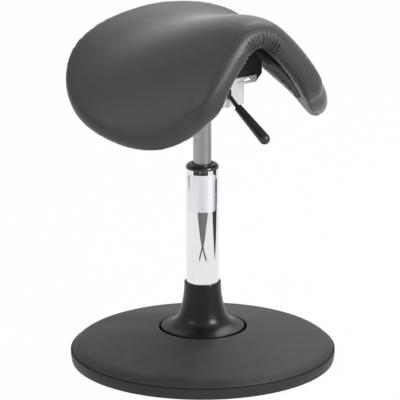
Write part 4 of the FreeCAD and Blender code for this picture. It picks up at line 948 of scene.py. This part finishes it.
    def gather(self, piece: bpy.types.Object) -> None:
        """Presses pleats under the arch and puckers along the turned-under border."""
        rows = place_of(piece)
        _, _, offset, front, back, side = self.edge_places(rows)
        near = np.nonzero((offset < 0.014)
                          & (np.minimum(np.minimum(front, back), side) < 0.036))[0]
        pleat, pucker = self.pleats(rows[near]), self.puckers(rows[near])
        press = self.pleat_depth * pleat + self.pucker_depth * pucker
        rows[near] -= normals_of(piece)[near] * press[:, None]
        put(piece, rows)
        # the crease depths darken the cover's colour as painted shade
        creases = np.zeros(len(rows))
        creases[near] = 0.8 * pleat + 0.6 * pucker
        mark_creases(piece, creases)

    def lining(self) -> bpy.types.Object:
        """The lining stretched over the underside, wrinkled between its staples.

        Returns:
            The finished piece.
        """
        inset = self.form.turn_under - self.form.half
        first, last = inset * 0.98, self.form.length - inset * 0.98
        bpy.ops.object.select_all(action="DESELECT")
        bpy.ops.mesh.primitive_grid_add(x_subdivisions=150, y_subdivisions=110, size=1.0)
        piece = bpy.context.active_object
        piece.name = piece.data.name = "underside_cloth"
        rows = place_of(piece)
        station = first + (last - first) * (rows[:, 1] + 0.5)
        wide = self.form.reach(station, -inset)
        girth = wide * rows[:, 0] * 2
        spots = self.form.point(station, girth, np.full(len(rows), -self.form.half))
        drift = waver(spots, 0.045, 5.5)
        edge = np.minimum(wide - np.abs(girth),
                          np.minimum(station - first, last - station))
        folds = np.abs(np.sin(math.pi * (station + girth + 0.03 * drift) / self.fold_pitch))
        crossed = np.abs(np.sin(math.pi * (station - 0.6 * girth + 0.03 * drift)
                                / self.crossed_pitch))
        pulled = (1 - folds) ** 2 * (1 - steps(edge, 0.03, 0.07)) + 0.6 * (1 - crossed) ** 3
        slack = waver(spots, 0.06, 1.3) * steps(edge, 0.0, 0.02)
        beside = np.exp(-((np.abs(girth) - self.sag_middle) / self.sag_width) ** 2)
        lift = self.fold_height * pulled + self.slack_height * slack
        lift += self.sag * beside * steps(edge, 0.004, 0.03)
        spots = self.form.point(station, girth, -self.form.half - 0.0006 - lift)
        put(piece, spots)
        # the fold depths darken the lining's colour as painted shade
        mark_creases(piece, 0.8 * pulled)
        low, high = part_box("mounting_block")
        only(piece)
        bpy.ops.object.mode_set(mode="OBJECT")
        room = self.block_margin
        for face in piece.data.polygons:
            x, y, _ = face.center
            face.select = (low.x + room < x < high.x - room
                           and low.y + room < y < high.y - room)
        bpy.ops.object.mode_set(mode="EDIT")
        bpy.ops.mesh.select_mode(type="FACE")
        bpy.ops.mesh.delete(type="FACE")
        bpy.ops.mesh.select_all(action="SELECT")
        bpy.ops.mesh.normals_make_consistent(inside=False)
        bpy.ops.object.mode_set(mode="OBJECT")
        apply_modifier(piece, "SOLIDIFY", thickness=self.cloth_thickness, offset=0.0)
        smooth(piece)
        self.wardrobe.dress(piece, "lining_cloth")
        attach(piece, "saddle")
        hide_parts("underside_lining")
        return piece

    def staple_places(self) -> list[tuple[float, float]]:
        """Station and girth of points evenly along the lining's edge."""
        inset = self.form.turn_under - self.form.half + 0.006
        first, last = inset, self.form.length - inset
        turn = np.linspace(0.0, 2 * math.pi, 721)
        station = (first + last) / 2 - (last - first) / 2 * np.cos(turn)
        wide = self.form.reach(station, -inset)
        girth = wide * np.sign(np.sin(turn)) * np.minimum(1.0, np.abs(np.sin(turn)) * 60)
        spots = self.form.point(station, girth, np.full(len(turn), -self.form.half))
        gaps = np.linalg.norm(np.diff(spots, axis=0), axis=1)
        walked = np.concatenate([[0.0], np.cumsum(gaps)])
        count = int(walked[-1] / self.staple_pitch)
        marks = np.linspace(0.0, walked[-1], count, endpoint=False)
        return list(zip(np.interp(marks, walked, station), np.interp(marks, walked, girth)))

    def staple_turn(self, station: float, girth: float) -> tuple[np.ndarray, list]:
        """Where a staple lies and how it is turned.

        Args:
            station: length along the ridge from the back.
            girth: signed length from the ridge, along the section.

        Returns:
            The staple's place, and its three axes as rows.
        """
        depth = np.array([-self.form.half - self.staple_depth])
        here, ahead, aside = (self.form.point(np.array([at]), np.array([off]), depth)[0]
                              for at, off in ((station, girth), (station + 0.002, girth),
                                              (station, girth * 0.99 - 0.0001)))
        along = Vector(ahead - here).normalized()
        across = Vector(aside - here).normalized()
        down = along.cross(across).normalized()
        across = down.cross(along)
        slant = math.radians(self.staple_slant * math.sin(97 * station + 41 * girth))
        line = along * math.cos(slant) + across * math.sin(slant)
        return here, [line, down.cross(line), down]

    def staples(self) -> bpy.types.Object:
        """The row of wire staples that holds the lining's edge.

        Returns:
            The finished piece.
        """
        bpy.ops.object.select_all(action="DESELECT")
        bpy.ops.mesh.primitive_cube_add(size=1.0)
        first = bpy.context.active_object
        put(first, place_of(first) * np.array(self.staple_size))
        apply_modifier(first, "BEVEL", width=self.staple_bevel, segments=2)
        shape = place_of(first)
        twins = []
        for station, girth in self.staple_places():
            here, axes = self.staple_turn(station, girth)
            twin = first.copy()
            twin.data = first.data.copy()
            bpy.context.scene.collection.objects.link(twin)
            put(twin, here + shape @ np.array(axes))
            twins.append(twin)
        bpy.ops.object.select_all(action="DESELECT")
        for twin in twins:
            twin.select_set(True)
        bpy.context.view_layer.objects.active = twins[0]
        bpy.ops.object.join()
        bpy.data.objects.remove(first)
        piece = bpy.context.view_layer.objects.active
        piece.name = piece.data.name = "lining_staples"
        only(piece)
        bpy.ops.object.mode_set(mode="EDIT")
        bpy.ops.mesh.select_all(action="SELECT")
        bpy.ops.mesh.normals_make_consistent(inside=False)
        bpy.ops.object.mode_set(mode="OBJECT")
        smooth(piece)
        self.wardrobe.dress(piece, "lever_black")
        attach(piece, "saddle")
        return piece


# column label


@dataclass
class BlankLabel:
    """A plain pale film label on the front of the tube."""

    wardrobe: Wardrobe
    radius: float = 0.02508
    foot: float = 0.2395
    top: float = 0.2975
    width: float = 0.045
    corner: float = 0.003
    facing: float = -38.0
    thickness: float = 0.00012
    strips: int = 24

    def build(self) -> bpy.types.Object:
        """Lays the label round the tube.

        Returns:
            The finished piece.
        """
        tall = self.top - self.foot
        bpy.ops.object.select_all(action="DESELECT")
        bpy.ops.mesh.primitive_plane_add(size=1.0)
        piece = bpy.context.active_object
        piece.name = piece.data.name = "tube_label"
        put(piece, place_of(piece) * np.array([self.width, tall, 1.0]))
        bpy.ops.object.mode_set(mode="EDIT")
        bpy.ops.mesh.select_all(action="SELECT")
        bpy.ops.mesh.bevel(offset=self.corner, segments=6, affect="VERTICES")
        for number in range(1, self.strips):
            bpy.ops.mesh.select_all(action="SELECT")
            bpy.ops.mesh.bisect(plane_co=(self.width * (number / self.strips - 0.5), 0, 0),
                                plane_no=(1, 0, 0))
        bpy.ops.object.mode_set(mode="OBJECT")
        rows = place_of(piece)
        angle = math.radians(self.facing - 90) + rows[:, 0] / self.radius
        middle = (self.foot + self.top) / 2
        put(piece, np.stack([self.radius * np.cos(angle), self.radius * np.sin(angle),
                             middle + rows[:, 1]], axis=-1))
        apply_modifier(piece, "SOLIDIFY", thickness=self.thickness, offset=1.0)
        smooth(piece)
        self.wardrobe.dress(piece, "label_film")
        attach(piece, "column")
        return piece


# studio


@dataclass(frozen=True)
class FloorCard:
    """A card on the floor that only reflections see.

    Its corners are metres from the column and degrees round it from the camera's side.
    """

    name: str
    shade: float
    corners: tuple[tuple[float, float], ...]


FLOOR_CARDS: tuple[FloorCard, ...] = (
    FloorCard("card_front", 0.16, (
        (0.6, 1.0), (0.72, 26.0), (0.84, 42.0), (0.84, 22.0), (0.84, 2.0), (0.84, -18.0),
        (0.84, -38.0), (0.72, -24.0))),
    FloorCard("card_foot_left", 0.1, (
        (0.63, -5.0), (0.63, 5.0), (0.56, -12.0), (0.53, -24.0), (0.56, -22.0))),
    FloorCard("card_foot_right", 0.1, (
        (0.63, 5.0), (0.63, -5.0), (0.56, 12.0), (0.53, 30.0), (0.56, 24.0))),
    FloorCard("card_collar", 0.04, (
        (1.005, -65.0), (1.005, -30.0), (1.005, 5.0), (1.005, 40.0), (1.1, 40.0), (1.1, 5.0),
        (1.1, -30.0), (1.1, -65.0))),
    FloorCard("card_collar_right", 0.04, (
        (1.005, 80.0), (1.005, 97.0), (1.005, 114.0), (1.1, 114.0), (1.1, 97.0), (1.1, 80.0))),
    FloorCard("card_right", 0.04, (
        (0.52, 96.0), (0.8, 74.0), (1.0, 84.0), (1.0, 104.0), (1.0, 124.0))),
    FloorCard("card_left", 0.06, (
        (0.9, -108.0), (1.02, -98.0), (1.02, -116.0))),
)


@dataclass(frozen=True)
class Lamp:
    """One square studio lamp, with its turn and rise in degrees as the camera sees it."""

    name: str
    turn: float
    rise: float
    reach: float
    size: float
    power: float


LAMPS: tuple[Lamp, ...] = (
    Lamp("back_lamp", 150.0, 52.0, 2.4, 1.6, 31.0),
    Lamp("right_lamp", 52.0, 28.0, 2.4, 0.5, 42.0),
    Lamp("left_lamp", -58.0, 33.0, 2.6, 0.35, 7.0),
)


@dataclass(frozen=True)
class Studio:
    """Floor, lamps, dark cards and camera."""

    azimuth: float = -38.0
    elevation: float = 16.8
    distance: float = 7.0
    aim: float = 0.25
    metres_per_pixel: float = 0.00152
    image: int = 400
    shift: tuple = (-2.4, 1.35)
    roll: float = -0.15
    sensor: float = 36.0
    floor_radius: float = 9.0
    paper_shade: float = 0.66
    paper_glow: float = 0.975
    world_light: float = 0.57
    lamp_aim: float = 0.35

    def direction(self, azimuth: float, elevation: float) -> Vector:
        """Unit vector from the object towards a viewpoint."""
        turn, rise = math.radians(azimuth), math.radians(elevation)
        return Vector((math.sin(turn) * math.cos(rise), -math.cos(turn) * math.cos(rise),
                       math.sin(rise)))

    def build(self) -> None:
        """Sets up the whole studio."""
        self.camera()
        self.floor()
        self.world()
        self.lamps()
        self.cards()
        scene = bpy.context.scene
        scene.view_settings.view_transform = "Standard"

    def camera(self) -> None:
        """The photograph's viewpoint."""
        data = bpy.data.cameras.new("camera")
        data.sensor_width = self.sensor
        data.lens = self.sensor * self.distance / (self.metres_per_pixel * self.image)
        data.shift_x = self.shift[0] / self.image
        data.shift_y = self.shift[1] / self.image
        data.clip_end = 60.0
        camera = bpy.data.objects.new("camera", data)
        bpy.context.scene.collection.objects.link(camera)
        back = self.direction(self.azimuth, self.elevation)
        camera.location = Vector((0, 0, self.aim)) + back * self.distance
        camera.rotation_mode = "QUATERNION"
        level = (-back).to_track_quat("-Z", "Y")
        camera.rotation_quaternion = Quaternion(back, math.radians(self.roll)) @ level
        bpy.context.scene.camera = camera

    def floor(self) -> None:
        """A pale floor that the camera sees as white from above and looks through from below."""
        bpy.ops.object.select_all(action="DESELECT")
        bpy.ops.mesh.primitive_circle_add(vertices=96, radius=self.floor_radius,
                                          fill_type="NGON")
        piece = bpy.context.active_object
        piece.name = "floor"
        made = bpy.data.materials.new("floor_paper")
        made.use_nodes = True
        made.node_tree.nodes.clear()
        wire = Wiring(made.node_tree)
        paper = wire.add("ShaderNodeBsdfDiffuse", Color=(*[self.paper_shade] * 3, 1))
        glow = wire.add("ShaderNodeEmission", Color=(1, 1, 1, 1), Strength=1.0)
        path = wire.add("ShaderNodeLightPath")
        seen = wire.maths("ADD", path.outputs["Is Camera Ray"], path.outputs["Is Glossy Ray"])
        seen = wire.maths("ADD", seen, path.outputs["Is Transmission Ray"], clamp=True)
        mix = wire.add("ShaderNodeMixShader")
        wire.join(wire.maths("MULTIPLY", seen, self.paper_glow), mix.inputs[0])
        wire.join(paper.outputs[0], mix.inputs[1])
        wire.join(glow.outputs[0], mix.inputs[2])
        facing = wire.add("ShaderNodeNewGeometry")
        clear = wire.add("ShaderNodeBsdfTransparent")
        both = wire.add("ShaderNodeMixShader")
        wire.join(facing.outputs["Backfacing"], both.inputs[0])
        wire.join(mix.outputs[0], both.inputs[1])
        wire.join(clear.outputs[0], both.inputs[2])
        out = wire.add("ShaderNodeOutputMaterial")
        wire.join(both.outputs[0], out.inputs["Surface"])
        piece.data.materials.append(made)

    def world(self) -> None:
        """Even light from all round, seen as white."""
        world = bpy.data.worlds.new("studio")
        world.use_nodes = True
        world.node_tree.nodes.clear()
        wire = Wiring(world.node_tree)
        light = wire.add("ShaderNodeBackground", Color=(1, 1, 1, 1),
                         Strength=self.world_light)
        seen = wire.add("ShaderNodeBackground", Color=(1, 1, 1, 1), Strength=1.0)
        path = wire.add("ShaderNodeLightPath")
        mix = wire.add("ShaderNodeMixShader")
        wire.join(path.outputs["Is Camera Ray"], mix.inputs[0])
        wire.join(light.outputs[0], mix.inputs[1])
        wire.join(seen.outputs[0], mix.inputs[2])
        out = wire.add("ShaderNodeOutputWorld")
        wire.join(mix.outputs[0], out.inputs["Surface"])
        bpy.context.scene.world = world

    def lamps(self) -> None:
        """A broad lamp behind and above, one on the right and a weak one on the left."""
        for plan in LAMPS:
            data = bpy.data.lights.new(plan.name, "AREA")
            data.shape = "SQUARE"
            data.size = plan.size
            data.energy = plan.power
            lamp = bpy.data.objects.new(plan.name, data)
            bpy.context.scene.collection.objects.link(lamp)
            back = self.direction(self.azimuth + plan.turn, plan.rise)
            lamp.location = Vector((0, 0, self.lamp_aim)) + back * plan.reach
            lamp.rotation_mode = "QUATERNION"
            lamp.rotation_quaternion = (-back).to_track_quat("-Z", "Y")

    def cards(self) -> None:
        """Dark cards on the floor, seen only as reflections in the chromed tube."""
        for plan in FLOOR_CARDS:
            made = bpy.data.materials.new(plan.name)
            made.use_nodes = True
            surface = made.node_tree.nodes["Principled BSDF"]
            surface.inputs["Base Color"].default_value = (*[plan.shade] * 3, 1)
            surface.inputs["Roughness"].default_value = 1.0
            surface.inputs["Specular IOR Level"].default_value = 0.0
            bpy.ops.object.select_all(action="DESELECT")
            bpy.ops.mesh.primitive_circle_add(vertices=len(plan.corners), fill_type="NGON")
            card = bpy.context.active_object
            card.name = plan.name
            put(card, np.array([self.on_floor(*corner) for corner in plan.corners]))
            card.data.materials.append(made)
            card.visible_camera = False
            card.visible_diffuse = False
            card.visible_shadow = False

    def on_floor(self, reach: float, turn: float) -> Vector:
        """Place just above the floor, at a distance and a turn from the camera's side."""
        spot = self.direction(self.azimuth + turn, 0.0) * reach
        spot.z = 0.001
        return spot


# the whole scene


def main() -> None:
    """Builds the studio and the object's looks, in order."""
    logging.basicConfig(level=logging.INFO, format="%(name)s: %(message)s")
    Studio().build()
    wardrobe = Wardrobe()
    wardrobe.dress_cad()
    LOG.info("finishes: %d on %d nodes", len(wardrobe.made), len(frame["nodes"]))
    for piece in (*Upholstery(wardrobe).build(), BlankLabel(wardrobe).build()):
        LOG.info("built %s, %d faces", piece.name, len(piece.data.polygons))


if __name__ == "__main__":
    main()
